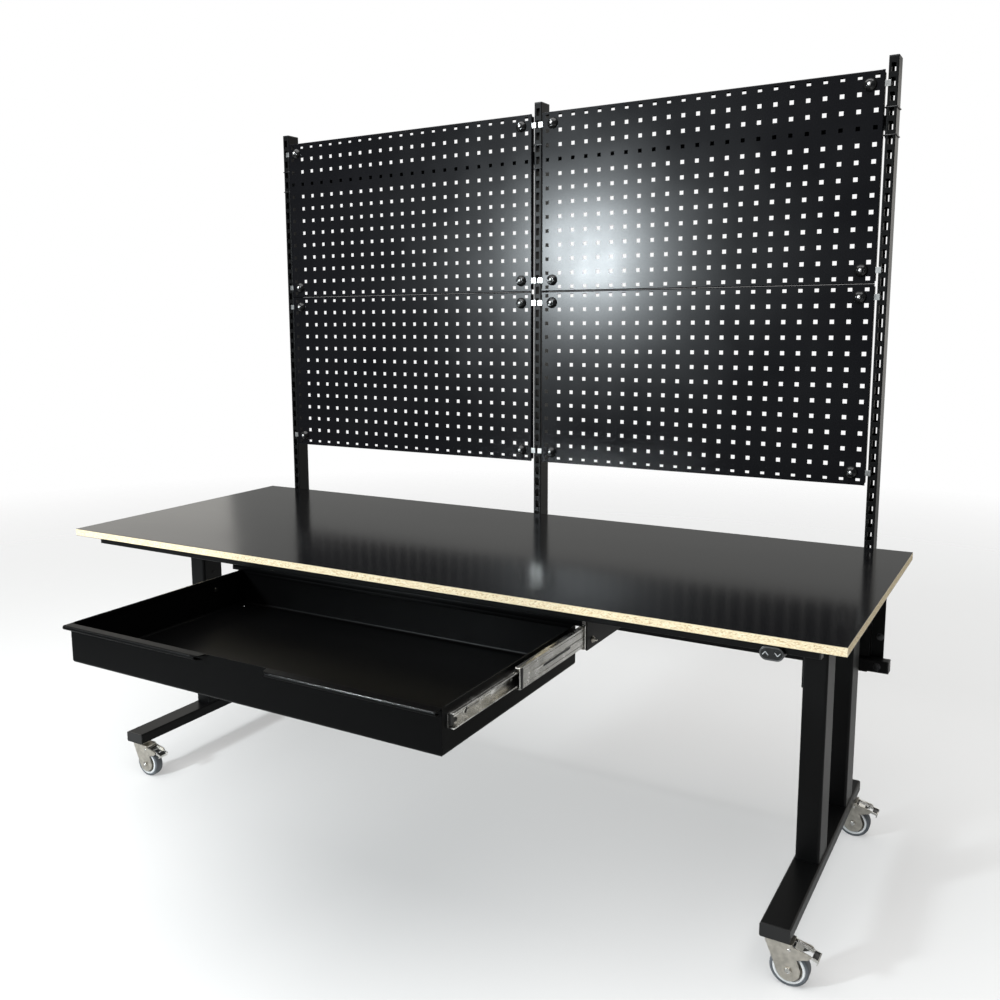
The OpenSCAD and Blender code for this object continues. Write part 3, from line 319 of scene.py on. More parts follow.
finishes = {
    "powder_coat": powderCoat("black powder coat", dict(
        dark=(0.0030, 0.0030, 0.0031), light=(0.0055, 0.0055, 0.0055), dust=(0.05, 0.047, 0.042),
        specks=0.15, roughness=0.36, gloss=0.14, peel=900.0, depth=0.000012, edge=0.0010)),
    "panel_coat": powderCoat("panel powder coat", dict(
        dark=(0.004, 0.004, 0.005), light=(0.006, 0.006, 0.007), dust=(0.08, 0.08, 0.08), specks=0.08,
        roughness=0.225, gloss=0.21, peel=850.0, depth=0.000010, edge=None,
        # fold: height and reach of a line of painted shade along the seam between upper and lower panels
        fold=(mid(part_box("upper_left_panel")[0].z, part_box("lower_left_panel")[1].z), 0.0032))),
    "black_plastic": grainPlastic("black plastic", dict(
        dark=(0.006, 0.006, 0.006), light=(0.010, 0.010, 0.010), roughness=0.40, grain=1600.0,
        depth=0.000012, edge=0.0008)),
    "black_zinc": zincPlate("black zinc", dict(
        dark=(0.03, 0.03, 0.032), light=(0.10, 0.10, 0.10), roughness=0.38, blotch=60.0,
        grain=(1.0, 1.0, 12.0), depth=0.00002, edge=0.0006)),
    "zinc": zincPlate("warm zinc plate", dict(
        dark=(0.52, 0.49, 0.43), light=(0.68, 0.64, 0.57), roughness=0.34, blotch=90.0,
        grain=(1.0, 1.0, 12.0), depth=0.00003, edge=0.0009)),
    "bright_zinc": zincPlate("bright zinc plate", dict(
        dark=(0.64, 0.63, 0.59), light=(0.86, 0.85, 0.82), roughness=0.24, blotch=40.0,
        grain=(14.0, 1.0, 14.0), depth=0.00003, edge=0.0006)),
    "ground_steel": turnedMetal("ground steel", dict(
        dark=(0.45, 0.45, 0.46), light=(0.66, 0.66, 0.67), roughness=0.25, grain=(0.5, 0.5, 14.0),
        depth=0.00003, edge=0.0005)),
    "motor_case": turnedMetal("motor case", dict(
        dark=(0.42, 0.42, 0.43), light=(0.60, 0.60, 0.61), roughness=0.4, grain=(0.5, 0.5, 8.0),
        depth=0.00003, edge=0.0005)),
    "nut_brass": turnedMetal("nut brass", dict(
        dark=(0.50, 0.36, 0.15), light=(0.72, 0.55, 0.25), roughness=0.3, grain=(0.5, 0.5, 10.0),
        depth=0.00003, edge=0.0005)),
    "glide_nylon": grainPlastic("glide nylon", dict(
        dark=(0.62, 0.62, 0.56), light=(0.72, 0.72, 0.67), roughness=0.5, grain=900.0, depth=0.00003,
        edge=0.0005)),
    "rim_plastic": grainPlastic("rim plastic", dict(
        dark=(0.30, 0.28, 0.23), light=(0.40, 0.37, 0.31), roughness=0.45, grain=1200.0, depth=0.00003,
        edge=0.0006)),
    "tyre_rubber": tyreRubber("tyre rubber", dict(
        dark=(0.10, 0.112, 0.124), light=(0.17, 0.18, 0.195), roughness=0.58, scuffs=45.0,
        scuffStep=(0.35, 0.7), scuffRough=0.2, grain=1100.0, depth=0.00005)),
    "chipboard": chipBoard("chipboard", dict(
        bigChips=330.0, fineChips=900.0, flatten=(1.0, 1.0, 2.6), coreShares=(0.3, 0.42), gaps=520.0,
        gapStep=(0.62, 0.72), gapShare=0.75, gap=(0.30, 0.19, 0.09), roughness=0.8, grain=900.0,
        depth=0.00008,
        tones=[(0.0, (0.58, 0.40, 0.20)), (0.2, (0.80, 0.63, 0.38)),
               (0.5, (0.91, 0.77, 0.51)), (1.0, (0.97, 0.87, 0.64))])),
    "laminate": laminateSheet("worktop laminate", dict(
        dark=(0.003, 0.003, 0.0035), light=(0.005, 0.005, 0.0055), dust=(0.12, 0.12, 0.13), dustShare=0.10,
        specks=260.0, speckStep=(0.69, 0.75), smears=2.2, smearStretch=(0.6, 1.6, 1.0), smearRough=0.12,
        roughness=0.16, gloss=0.30, grain=1500.0, depth=0.000008, edge=0.0004)),
    "tray_coat": powderCoat("tray powder coat", dict(
        dark=(0.0008, 0.0008, 0.0009), light=(0.0016, 0.0016, 0.0016), dust=(0.04, 0.038, 0.034),
        specks=0.10, roughness=0.33, gloss=0.055, peel=900.0, depth=0.000012, edge=0.0010)),
    "clip_zinc": zincPlate("clip zinc plate", dict(
        dark=(0.60, 0.60, 0.58), light=(0.80, 0.80, 0.78), roughness=0.30, blotch=40.0,
        grain=(14.0, 1.0, 14.0), depth=0.00003, edge=0.0006,
        # bend: painted shade where the clips' hooks turn into the uprights' slots
        bend=(0.9, 0.0034, 0.0046, (0.02, 0.02, 0.02)))),
    "cap_steel": zincPlate("cap steel", dict(
        dark=(0.82, 0.82, 0.81), light=(0.93, 0.93, 0.92), roughness=0.42, blotch=90.0,
        grain=(1.0, 1.0, 1.0), depth=0.00001, edge=None)),
    "rolled_edge": powderCoat("rolled edge", dict(
        dark=(0.004, 0.004, 0.004), light=(0.007, 0.007, 0.007), dust=(0.06, 0.057, 0.052), specks=0.10,
        roughness=0.17, gloss=0.45, peel=900.0, depth=0.000008, edge=None)),
    "knob_plastic": grainPlastic("knob plastic", dict(
        dark=(0.006, 0.006, 0.006), light=(0.009, 0.009, 0.009), roughness=0.13, grain=1400.0,
        depth=0.000002, edge=None)),
    "white_print": grainPlastic("white print", dict(
        dark=(0.70, 0.71, 0.72), light=(0.82, 0.83, 0.84), roughness=0.5, grain=1500.0, depth=0.00002,
        edge=None)),
    "grey_bezel": grainPlastic("grey bezel", dict(
        dark=(0.10, 0.10, 0.10), light=(0.20, 0.20, 0.20), roughness=0.35, grain=1500.0, depth=0.00002,
        edge=None)),
    "pale_ring": grainPlastic("pale wheel ring", dict(
        dark=(0.82, 0.83, 0.83), light=(0.93, 0.93, 0.92), roughness=0.35, grain=1200.0, depth=0.00002,
        edge=None)),
}

slotOf = {part["node"]: part["material_slot"] for part in frame["record"]["subparts"]}
ownFinish = {"panel_knobs": "knob_plastic", "drawer_tray": "tray_coat", "panel_clips": "clip_zinc"}
# Painted light: the pedals take the paler bright zinc in place of their castors' zinc, as they are lit from
# above
ownFinish.update({name: "bright_zinc" for name in frame["nodes"] if name.endswith("_pedal")})
for name, node in frame["nodes"].items():
    node.data.materials.clear()
    node.data.materials.append(finishes[ownFinish.get(name, slotOf[name])])
print("finishes on", len(frame["nodes"]), "nodes")


# Shapes are (points, faces); a grid's rows run along the shape and its columns run round it
def gridShape(points, closedAlong=False):
    rows, columns = points.shape[:2]
    index = np.arange(rows * columns).reshape(rows, columns)
    if closedAlong:
        index = np.vstack([index, index[:1]])
    beside = np.roll(index, -1, axis=1)
    quads = np.stack([index[:-1], beside[:-1], beside[1:], index[1:]], -1).reshape(-1, 4)
    faces = quads.tolist()
    if not closedAlong:
        faces += [index[0].tolist(), index[-1].tolist()]
    return points.reshape(-1, 3), faces


# Points turned about z: each row's radius and height are either one number or one for every angle
def spun(radius, height, steps, closedAlong=False):
    angle = np.linspace(0, 2 * np.pi, steps, endpoint=False)
    radius, height = [np.broadcast_to(rows, (len(rows), steps)) for rows in (radius, height)]
    points = np.stack([radius * np.cos(angle), radius * np.sin(angle), height], -1)
    return gridShape(points, closedAlong)


# Turned shape: a profile of (radius, height) turned round; where corners is set the radius follows a polygon,
# apothem divided by the cosine of the angle from its nearest flat
def turned(profile, steps=40, corners=0, cornerRows=()):
    profile = np.array(profile, float)
    radius = np.repeat(profile[:, :1], steps, axis=1)
    if corners:
        angle = np.linspace(0, 2 * np.pi, steps, endpoint=False)
        part = 2 * np.pi / corners
        flat = np.cos((angle + part / 2) % part - part / 2)
        for row in cornerRows:
            radius[row] = radius[row] / flat
    return spun(radius, profile[:, 1:], steps)


# Round rod along a path: a circle in the plane across the path's direction, with side square to up
def rod(path, radius, up, sides=10, closed=False):
    path = np.array(path, float)
    if closed:
        along = np.roll(path, -1, axis=0) - np.roll(path, 1, axis=0)
    else:
        along = np.gradient(path, axis=0)
    along /= np.linalg.norm(along, axis=1, keepdims=True)
    up = np.broadcast_to(np.array(up, float), path.shape)
    side = np.cross(along, up)
    side /= np.linalg.norm(side, axis=1, keepdims=True)
    lift = np.cross(side, along)
    angle = np.linspace(0, 2 * np.pi, sides, endpoint=False)
    ring = np.cos(angle)[None, :, None] * side[:, None] + np.sin(angle)[None, :, None] * lift[:, None]
    return gridShape(path[:, None] + radius * ring, closedAlong=closed)


# Plate: an outline in x and y raised along z, its two rims drawn in by a small round; halfway round it the
# outline has come in and up by about 0.3 of its radius
def plate(outline, thick, rim):
    along = np.roll(outline, -1, axis=0) - np.roll(outline, 1, axis=0)
    along /= np.linalg.norm(along, axis=1, keepdims=True)
    inward = np.stack([-along[:, 1], along[:, 0]], -1)
    halfway = 0.3
    bend = rim * halfway
    layers = []
    for inset, height in ((rim, 0), (bend, bend), (0, rim), (0, thick - rim), (bend, thick - bend),
                          (rim, thick)):
        flat = outline + inset * inward
        layers.append(np.column_stack([flat, np.full(len(flat), height)]))
    return gridShape(np.array(layers))


# Outline with two half-round ends, width along x, anticlockwise
def roundEnds(width, height, steps=12):
    r = height / 2
    turn = np.linspace(-np.pi / 2, np.pi / 2, steps)
    right = np.column_stack([width / 2 - r + r * np.cos(turn), r * np.sin(turn)])
    return np.vstack([right, -right])


# Outline of a rectangle with round corners, anticlockwise
def roundBox(width, height, r, steps=6):
    corners = []
    for i, (sx, sy) in enumerate(((1, 1), (-1, 1), (-1, -1), (1, -1))):
        turn = np.linspace(0, np.pi / 2, steps) + i * np.pi / 2
        corners.append(np.column_stack([sx * (width / 2 - r) + r * np.cos(turn),
                                        sy * (height / 2 - r) + r * np.sin(turn)]))
    return np.vstack(corners)


# Flat pieces: width, height, corner radius, thickness and rim
def slab(width, height, corner, thick, rim):
    return plate(roundBox(width, height, corner), thick, rim)


# Flat pieces with half-round ends: width, height, thickness and rim
def roundStrip(width, height, thick, rim):
    return plate(roundEnds(width, height), thick, rim)


# Domed head: a quarter circle squeezed to the height and turned; its top ends in a small flat
def domeHead(radius, height, end, rows, steps):
    flatShare = 0.02
    return turned([(radius * max(math.cos(a), flatShare), height * math.sin(a))
                   for a in np.linspace(0, end, rows)], steps)


# Turns a shape so that its z points along axis and its x along across, and sets it at a place
def placed(shape, place, axis=(0, 0, 1), across=(1, 0, 0)):
    z = np.array(axis, float)
    x = np.array(across, float)
    y = np.cross(z, x)
    return shape[0] @ np.array([x, y, z]) + np.array(place, float), shape[1]


# Several shapes as one, their faces numbered on
def joined(shapes):
    points, faces, count = [], [], 0
    for p, f in shapes:
        points.append(p)
        faces += [[i + count for i in face] for face in f]
        count += len(p)
    return np.vstack(points), faces


# Makes the piece: faces turned outwards, smooth but for sharp edges, with material and body; its finish is
# the slot's unless one is given
sharpEdge = math.radians(35)


def makePiece(name, shape, body, slot, finish=None, replaces=()):
    mesh = bpy.data.meshes.new(name)
    mesh.from_pydata(shape[0].tolist(), [], shape[1])
    build = bmesh.new()
    build.from_mesh(mesh)
    bmesh.ops.recalc_face_normals(build, faces=build.faces)
    for face in build.faces:
        face.smooth = True
    for edge in build.edges:
        edge.smooth = len(edge.link_faces) == 2 and edge.calc_face_angle(0) < sharpEdge
    build.to_mesh(mesh)
    build.free()
    mesh.materials.append(finishes[finish or slot])
    obj = bpy.data.objects.new(name, mesh)
    scene.collection.objects.link(obj)
    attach(obj, body)
    if replaces:
        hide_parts(*replaces)


# Screws: a low domed head with a six-sided socket, in shares of the head's radius and height
screw = dict(socket=0.5, socketFoot=0.98, socketDepth=0.45, brim=0.35, domeEnd=1.05, domeRows=7, steps=36)


def screwShape(radius, height):
    k = screw
    socket = radius * k["socket"]
    dome = [(radius * math.cos(a), height * (k["brim"] + (1 - k["brim"]) * math.sin(a)))
            for a in np.linspace(0, k["domeEnd"], k["domeRows"])]
    inner = [(socket, dome[-1][1]), (socket * k["socketFoot"], height * (1 - k["socketDepth"]))]
    socketRows = (len(dome) + 1, len(dome) + 2)
    return turned([(radius, 0)] + dome + inner, k["steps"], corners=6, cornerRows=socketRows)


# Hexagon head with a chamfered crown on its washer, in shares of the head's half width and height
hexagon = dict(washerHigh=0.2, rows=((1.02, 0.2), (1, 0.22), (1, 0.88), (0.86, 1), (0.3, 1)), steps=36)


def hexHead(flat, height, washer):
    rows = [(washer, 0), (washer, height * hexagon["washerHigh"])]
    rows += [(flat * across, height * up) for across, up in hexagon["rows"]]
    return turned(rows, hexagon["steps"], corners=6, cornerRows=(2, 3, 4))


# Castor wheels: web with ribs, pale ring round it and a tyre with round shoulders. The web's rows are radius
# and depth below its face
wheel = dict(
    webRows=[sizes(*row) for row in ((4.3, 0), (9, 0), (10, 1), (13, 5), (17, 6), (22, 6), (25, 4.5),
                                     (26, 4))],
    webGap=0.2 * mm, webSteps=96, ribs=6, ribHeight=1.6 * mm, ribSpan=sizes(11, 24), ribSteep=2, ribSunk=0.9,
    ring=sizes(25.4, 31), ringSunk=1.2 * mm, ringProud=1.1 * mm, ringBevel=1.0 * mm, tyreGap=0.2 * mm,
    bead=sizes(0.8, 1), shoulder=5.0 * mm, shoulderRows=8, treadRows=5, steps=72)


# Web: on the dish the height swells by the cosine of the rib count times the angle, made steeper and cut off
# at 0 and 1, so that the ribs run from hub to ring
def webShape(half):
    w = wheel
    rows = [(radius, half - depth) for radius, depth in w["webRows"]]
    profile = np.array(rows + [(radius, -height) for radius, height in reversed(rows)])
    angle = np.linspace(0, 2 * np.pi, w["webSteps"], endpoint=False)
    ribs = np.clip(np.cos(w["ribs"] * angle) * w["ribSteep"] - w["ribSunk"], 0, 1) * w["ribHeight"]
    start, end = w["ribSpan"]
    onDish = (profile[:, :1] > start) & (profile[:, :1] < end)
    height = profile[:, 1:] + onDish * np.sign(profile[:, 1:]) * ribs
    return spun(profile[:, :1], height, w["webSteps"], closedAlong=True)


# Ring and tyre: closed profiles turned round the axle
def closedTurn(rows):
    profile = np.array(rows)
    return spun(profile[:, :1], profile[:, 1:], wheel["steps"], closedAlong=True)


def ringShape(half):
    w = wheel
    inner, outer = w["ring"]
    bevel = w["ringBevel"]
    low = half - w["ringSunk"]
    high = low + w["ringProud"]
    side = [(inner, low), (inner + bevel, high), (outer - bevel, high), (outer, low)]
    return closedTurn([(inner, -low)] + side + [(r, -h) for r, h in side[:0:-1]])


def tyreShape(radius, half):
    w = wheel
    r = w["shoulder"]
    inner = w["ring"][1] + w["tyreGap"]
    beadWide, beadHigh = w["bead"]
    side = [(inner, half - beadHigh), (inner + beadWide, half)]
    side += [(radius - r + r * math.sin(a), half - r + r * math.cos(a))
             for a in np.linspace(0, np.pi / 2, w["shoulderRows"])]
    tread = [(radius, h) for h in np.linspace(half - r, r - half, w["treadRows"])[1:-1]]
    return closedTurn(side + tread + [(p, -h) for p, h in reversed(side)])


castors = ("front_left", "front_right", "rear_left", "rear_right")
for corner in castors:
    low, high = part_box(corner + "_tyre")
    radius, half = (high.x - low.x) / 2, (high.y - low.y) / 2
    axle = dict(place=mid(low, high), axis=(0, 1, 0))
    body = "wheel_" + corner
    makePiece(corner + "_web", placed(webShape(half - wheel["webGap"]), **axle), body, "rim_plastic",
              replaces=[corner + "_wheel"])
    makePiece(corner + "_ring", placed(ringShape(half), **axle), body, "rim_plastic", "pale_ring")
    makePiece(corner + "_tread", placed(tyreShape(radius, half), **axle), body, "tyre_rubber",
              replaces=[corner + "_tyre"])
print("castor wheels")

# Castor trim: rivet heads on the pedal's pin, caps on the axle's ends and a rubber pad on the pedal's slope
castorTrim = dict(pinAhead=1.0 * mm, pinAbove=4.6 * mm, pinHead=sizes(3, 1.2), pinGap=0.05 * mm, domeEnd=1.45,
                  cap=sizes(5.2, 1.6), pad=sizes(11, 24, 2, 1.6, 0.4), padSlope=17.0, padDown=46.0 * mm,
                  padOut=6.0 * mm)


def trimCastor(corner, t):
    fork, pedal, tyre = [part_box(corner + part) for part in ("_fork", "_pedal", "_tyre")]
    axleX, axleZ = mid(tyre[0].x, tyre[1].x), mid(tyre[0].z, tyre[1].z)
    pinX, pinZ = axleX + t["pinAhead"], tyre[1].z + t["pinAbove"]
    dome = domeHead(*t["pinHead"], t["domeEnd"], rows=7, steps=24)
    heads = [placed(dome, (pinX, y + side * t["pinGap"], pinZ), (0, side, 0))
             for side, y in ((-1, pedal[0].y), (1, pedal[1].y))]
    makePiece(corner + "_pin_heads", joined(heads), "pedal_" + corner, "bright_zinc")
    caps = [placed(screwShape(*t["cap"]), (axleX, y, axleZ), (0, side, 0))
            for side, y in ((-1, fork[0].y), (1, fork[1].y))]
    makePiece(corner + "_axle_caps", joined(caps), "castor_" + corner, "bright_zinc")
    slope = math.radians(t["padSlope"])
    down = np.array([math.cos(slope), 0, -math.sin(slope)])
    out = np.array([math.sin(slope), 0, math.cos(slope)])
    padAt = np.array([pinX, mid(pedal[0].y, pedal[1].y), pinZ]) + t["padDown"] * down + t["padOut"] * out
    makePiece(corner + "_pedal_pad", placed(slab(*t["pad"]), padAt, out, down), "pedal_" + corner,
              "black_plastic")


for corner in castors:
    trimCastor(corner, castorTrim)
print("castor trim")

# Switch: two bezel lines round the oval and a chevron on each button
switch = dict(bezel=0.5 * mm, inset=2.2 * mm, chevron=sizes(10.4, 6), tipShares=(0.04, 0.98), stroke=0.8 * mm)


# An outline set on the front of a box
def onFront(outline, box):
    low, high = box
    return np.column_stack([mid(low.x, high.x) + outline[:, 0], np.full(len(outline), low.y),
                            mid(low.z, high.z) + outline[:, 1]])


def bezelLine(box, inset):
    low, high = box
    oval = roundEnds(high.x - low.x - 2 * inset, high.z - low.z - 2 * inset, steps=24)
    return rod(onFront(oval, box), switch["bezel"], (0, 1, 0), sides=8, closed=True)


# Chevron: two strokes that meet in a slightly blunt tip, which points up for way 1 and down for way -1
def chevron(box, way):
    half, rise = switch["chevron"][0] / 2, way * switch["chevron"][1] / 2
    tipWide, tipHigh = switch["tipShares"]
    line = np.array([(-half, -rise), (-half * tipWide, rise * tipHigh), (0, rise),
                     (half * tipWide, rise * tipHigh), (half, -rise)])
    return rod(onFront(line, box), switch["stroke"], (0, 1, 0))


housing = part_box("switch_housing")
makePiece("switch_bezel", joined([bezelLine(housing, switch[key]) for key in ("bezel", "inset")]), "top",
          "black_plastic", "grey_bezel")
for name, way in (("up", 1), ("down", -1)):
    body = name + "_button"
    makePiece(name + "_chevron", chevron(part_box(body), way), body, "black_plastic", "white_print")
print("switch")

# Drawer slides: flat pieces list their sizes as slab and roundStrip take them, screws and bolts as their
# heads do; shares say where along its member a thing lies, but those of catch and tongue are shares of the
# catch's width. The slot shades and the notch are black strips of painted shade, put where slots and a
# notch show only shade
slide = dict(
    ribHigh=5.0 * mm, ribRimShare=0.4, eyelet=4.2 * mm, memberThick=1.5 * mm, innerProud=0.8 * mm,
    innerRibShares=((0.035, 0.20), (0.24, 0.62), (0.66, 0.95)), innerEyeShares=(0.22, 0.64),
    middleRibShares=((0.06, 0.30), (0.36, 0.60), (0.66, 0.92)), middleEyeShares=(0.33, 0.63),
    middleProud=0.35 * mm, ridge=sizes(2.6, 0.35, 0.14), ridgeShort=24.0 * mm, ridgeAt=14.5 * mm,
    outerRim=0.9 * mm, middleRim=1.2 * mm, rimBack=9.0 * mm, rimBend=2.0 * mm, bendSteps=6,
    # Black strips of painted shade where the middle member's slots show only shade
    slotShade=sizes(118, 5, 0.5, 0.15), slotShadeShares=(0.30, 0.74), slotShadeBelow=2.0 * mm,
    lever=sizes(80, 15, 3, 1.3, 0.4), leverShare=0.36,
    # A black strip of painted shade where the inner member's notch shows only shade
    notchShade=sizes(14, 3, 1.4, 0.4), notchShadeShare=0.115, notchShadeTurn=(0, 0.4, 0.92),
    screw=sizes(3.6, 1.8), screwShares=(0.10, 0.43, 0.80), footScrewShares=(0.08, 0.5, 0.92),
    footScrewOut=15.0 * mm,
    catch=sizes(9, 22, 2.5, 4.5, 0.8), catchShare=0.75, tongue=sizes(16, 6, 3.2, 0.6), tongueShare=1.9,
    tongueBelow=5.0 * mm, bumperShort=3.0 * mm, bumperWide=8.0 * mm, bumper=sizes(1.2, 1.2, 0.3),
    noseWide=4.6 * mm, nose=sizes(1, 1, 0.3), tab=sizes(9, 10, 1, 1.2, 0.3), tabShare=0.80, tabBelow=3.0 * mm,
    bolt=sizes(5, 4.2, 7), boltShares=(0.06, 0.5, 0.92), boltBelow=12.0 * mm, stud=sizes(2.5, 10),
    studEndShares=(0.8, 0.9))
innerBox, middleBox, outerBox = [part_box(part + "_members") for part in ("inner", "middle", "outer")]
hangerBox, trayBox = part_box("slide_hangers"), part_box("drawer_tray")
slideZ = mid(outerBox[0].z, outerBox[1].z)
sheet = dict(hanger=2.5 * mm, tray=1.2 * mm)


# Eyelet: a ring pressed up round a hole, in shares of its radius and height
eyeletShares = ((1, 0), (0.94, 0.8), (0.85, 1), (0.72, 0.8), (0.66, 0.1))


def eyelet(radius, proud):
    return turned([(radius * across, proud * up) for across, up in eyeletShares], steps=28)


def alongMember(box, share):
    return box[0].y + share * (box[1].y - box[0].y)


# Sets a shape on the outward face at x of the slide on one side, its width along the slide
def onSlide(shape, side, x, y, below=0.0, across=(0, 1, 0)):
    return placed(shape, (x, y, slideZ - below), (side, 0, 0), across)


# Ribs and eyelets pressed in a member's web
def pressed(side, x, box, ribShares, eyeShares, proud):
    shapes = []
    for low, high in ribShares:
        length = (high - low) * (box[1].y - box[0].y)
        rib = roundStrip(length, slide["ribHigh"], proud, slide["ribRimShare"] * proud)
        shapes.append(onSlide(rib, side, x, alongMember(box, mid(low, high))))
    for share in eyeShares:
        shapes.append(onSlide(eyelet(slide["eyelet"], proud), side, x, alongMember(box, share)))
    return shapes


# Rim of a member's front end: a rod along its C section, with round bends, opening towards the tray
def rim(side, box, radius):
    bend = slide["rimBend"]
    web = box[side > 0].x - side * radius
    half = (box[1].z - box[0].z) / 2 - radius
    turn = np.linspace(0, np.pi / 2, slide["bendSteps"])
    across = np.concatenate([[slide["rimBack"]], bend * (1 - np.sin(turn))])
    up = np.concatenate([[half], half - bend * (1 - np.cos(turn))])
    path = [(web - side * u, box[0].y - radius, slideZ + v) for u, v in zip(across, up)]
    path += [(web - side * u, box[0].y - radius, slideZ - v) for u, v in zip(across[::-1], up[::-1])]
    return rod(path, radius, (0, 1, 0), sides=12)


def innerTrim(side, tag):
    k = slide
    face = trayBox[side > 0].x + side * k["memberThick"]
    front = innerBox[0].y
    ribs = pressed(side, face, innerBox, k["innerRibShares"], k["innerEyeShares"], k["innerProud"])
    makePiece(tag + "_inner_ribs", joined(ribs), "drawer", "bright_zinc")
    lever = onSlide(slab(*k["lever"]), side, face, alongMember(innerBox, k["leverShare"]))
    makePiece(tag + "_lever", lever, "drawer", "bright_zinc")
    # Notch: a black strip of painted shade where the notch shows only shade
    notchShade = onSlide(roundStrip(*k["notchShade"]), side, face, alongMember(innerBox, k["notchShadeShare"]),
                    across=k["notchShadeTurn"])
    makePiece(tag + "_notch", notchShade, "drawer", "black_plastic")
    screws = [onSlide(screwShape(*k["screw"]), side, face, alongMember(innerBox, share))
              for share in k["screwShares"]]
    makePiece(tag + "_inner_screws", joined(screws), "drawer", "bright_zinc")
    catchWide = k["catch"][0]
    catch = onSlide(slab(*k["catch"]), side, face, front + k["catchShare"] * catchWide)
    tongue = onSlide(roundStrip(*k["tongue"]), side, face, front + k["tongueShare"] * catchWide,
                     k["tongueBelow"])
    makePiece(tag + "_catch", joined([catch, tongue]), "drawer", "black_plastic")
    inside = trayBox[side > 0].x - side * sheet["tray"]
    tab = onSlide(slab(*k["tab"]), -side, inside, alongMember(innerBox, k["tabShare"]), k["tabBelow"])
    makePiece(tag + "_tab", tab, "drawer", "bright_zinc")


def middleTrim(side, tag):
    k = slide
    face, front = middleBox[side > 0].x, middleBox[0].y
    wide, thick, edge = k["ridge"]
    ridge = roundStrip(middleBox[1].y - front - k["ridgeShort"], wide, thick, edge)
    ridges = [onSlide(ridge, side, face, mid(front, middleBox[1].y), way * k["ridgeAt"]) for way in (1, -1)]
    ribs = pressed(side, face, middleBox, k["middleRibShares"], k["middleEyeShares"], k["middleProud"])
    makePiece(tag + "_middle_ribs", joined(ridges + ribs + [rim(side, middleBox, k["middleRim"])]),
              "slide_middle", "bright_zinc")
    # Black strips of painted shade along the web, where its slots show only shade
    stops = [onSlide(roundStrip(*k["slotShade"]), side, face, alongMember(middleBox, share), k["slotShadeBelow"])
             for share in k["slotShadeShares"]]
    makePiece(tag + "_middle_stops", joined(stops), "slide_middle", "black_plastic")
    high = middleBox[1].z - middleBox[0].z - k["bumperShort"]
    flat = onSlide(slab(k["bumperWide"], high, *k["bumper"]), side, face, front + k["bumperWide"] / 2)
    nose = placed(slab(k["noseWide"], high, *k["nose"]),
                  (face + side * (k["bumper"][1] - k["noseWide"] / 2), front, slideZ), (0, -1, 0))
    makePiece(tag + "_bumper", joined([flat, nose]), "slide_middle", "black_plastic")


def outerTrim(side, tag):
    k = slide
    makePiece(tag + "_outer_rim", rim(side, outerBox, k["outerRim"]), "top", "bright_zinc")
    face = outerBox[side > 0].x + side * sheet["hanger"]
    studRadius, studLong = k["stud"]
    endRadius, endAt = k["studEndShares"]
    stud = turned([(studRadius, 0), (studRadius, endAt * studLong), (endRadius * studRadius, studLong)],
                  steps=20)
    bolts = [onSlide(shape, side, face, alongMember(outerBox, share), k["boltBelow"])
             for share in k["boltShares"] for shape in (hexHead(*k["bolt"]), stud)]
    makePiece(tag + "_hanger_bolts", joined(bolts), "top", "zinc")
    footX = face + side * (k["footScrewOut"] - sheet["hanger"])
    screws = [placed(screwShape(*k["screw"]),
                     (footX, alongMember(outerBox, share), hangerBox[1].z - sheet["hanger"]), (0, 0, -1))
              for share in k["footScrewShares"]]
    makePiece(tag + "_foot_screws", joined(screws), "top", "zinc")


for side, tag in ((-1, "left"), (1, "right")):
    innerTrim(side, tag)
    middleTrim(side, tag)
    outerTrim(side, tag)
print("slides")

# Tray: the sheet's edge is folded flat inside the side walls and the back wall
hem = dict(high=9.0 * mm, fold=sizes(1, 1, 0.3), inset=12.0 * mm, below=0.6 * mm)
low, high = trayBox
hemZ = high.z - hem["below"] - hem["high"] / 2


def hemStrip(length):
    return slab(length - 2 * hem["inset"], hem["high"], *hem["fold"])


hems = [placed(hemStrip(innerBox[1].y - innerBox[0].y),
               (x - side * sheet["tray"], mid(innerBox[0].y, innerBox[1].y), hemZ), (-side, 0, 0), (0, 1, 0))
        for side, x in ((-1, low.x), (1, high.x))]
hems.append(placed(hemStrip(high.x - low.x), (mid(low.x, high.x), high.y - sheet["tray"], hemZ), (0, -1, 0)))
makePiece("tray_hems", joined(hems), "drawer", "powder_coat", "tray_coat")

# Tray's edges: bright rounds along the lips' noses and along the tops of the back and side walls. Left and
# right say where each lip starts and ends, from its own side of the tray
roll = dict(radius=0.7 * mm, noseRadius=1.0 * mm, nose=4.5 * mm, out=3.9 * mm, left=sizes(4, 365),
            right=sizes(4, 350), inset=9.0 * mm, frontInset=30.0 * mm)
noseY = low.y + roll["nose"] - roll["out"] * math.sqrt(0.5)
noseZ = high.z - roll["nose"] + roll["out"] * math.sqrt(0.5)
noses = [[low.x + x for x in roll["left"]], [high.x - x for x in roll["right"][::-1]]]
edges = [rod([(x, noseY, noseZ) for x in (start, mid(start, end), end)], roll["noseRadius"], (0, 0, 1),
             sides=14)
         for start, end in noses]
wall = sheet["tray"] / 2
frontY, backY = low.y + roll["frontInset"], high.y - roll["inset"]
wallTops = [((x, frontY), (x, backY)) for x in (low.x + wall, high.x - wall)]
wallTops.append(((low.x + roll["inset"], high.y - wall), (high.x - roll["inset"], high.y - wall)))
edges += [rod([(*start, high.z), (*end, high.z)], roll["radius"], (0, 0, 1), sides=12)
          for start, end in wallTops]
makePiece("tray_edges", joined(edges), "drawer", "powder_coat", "rolled_edge")
print("tray")

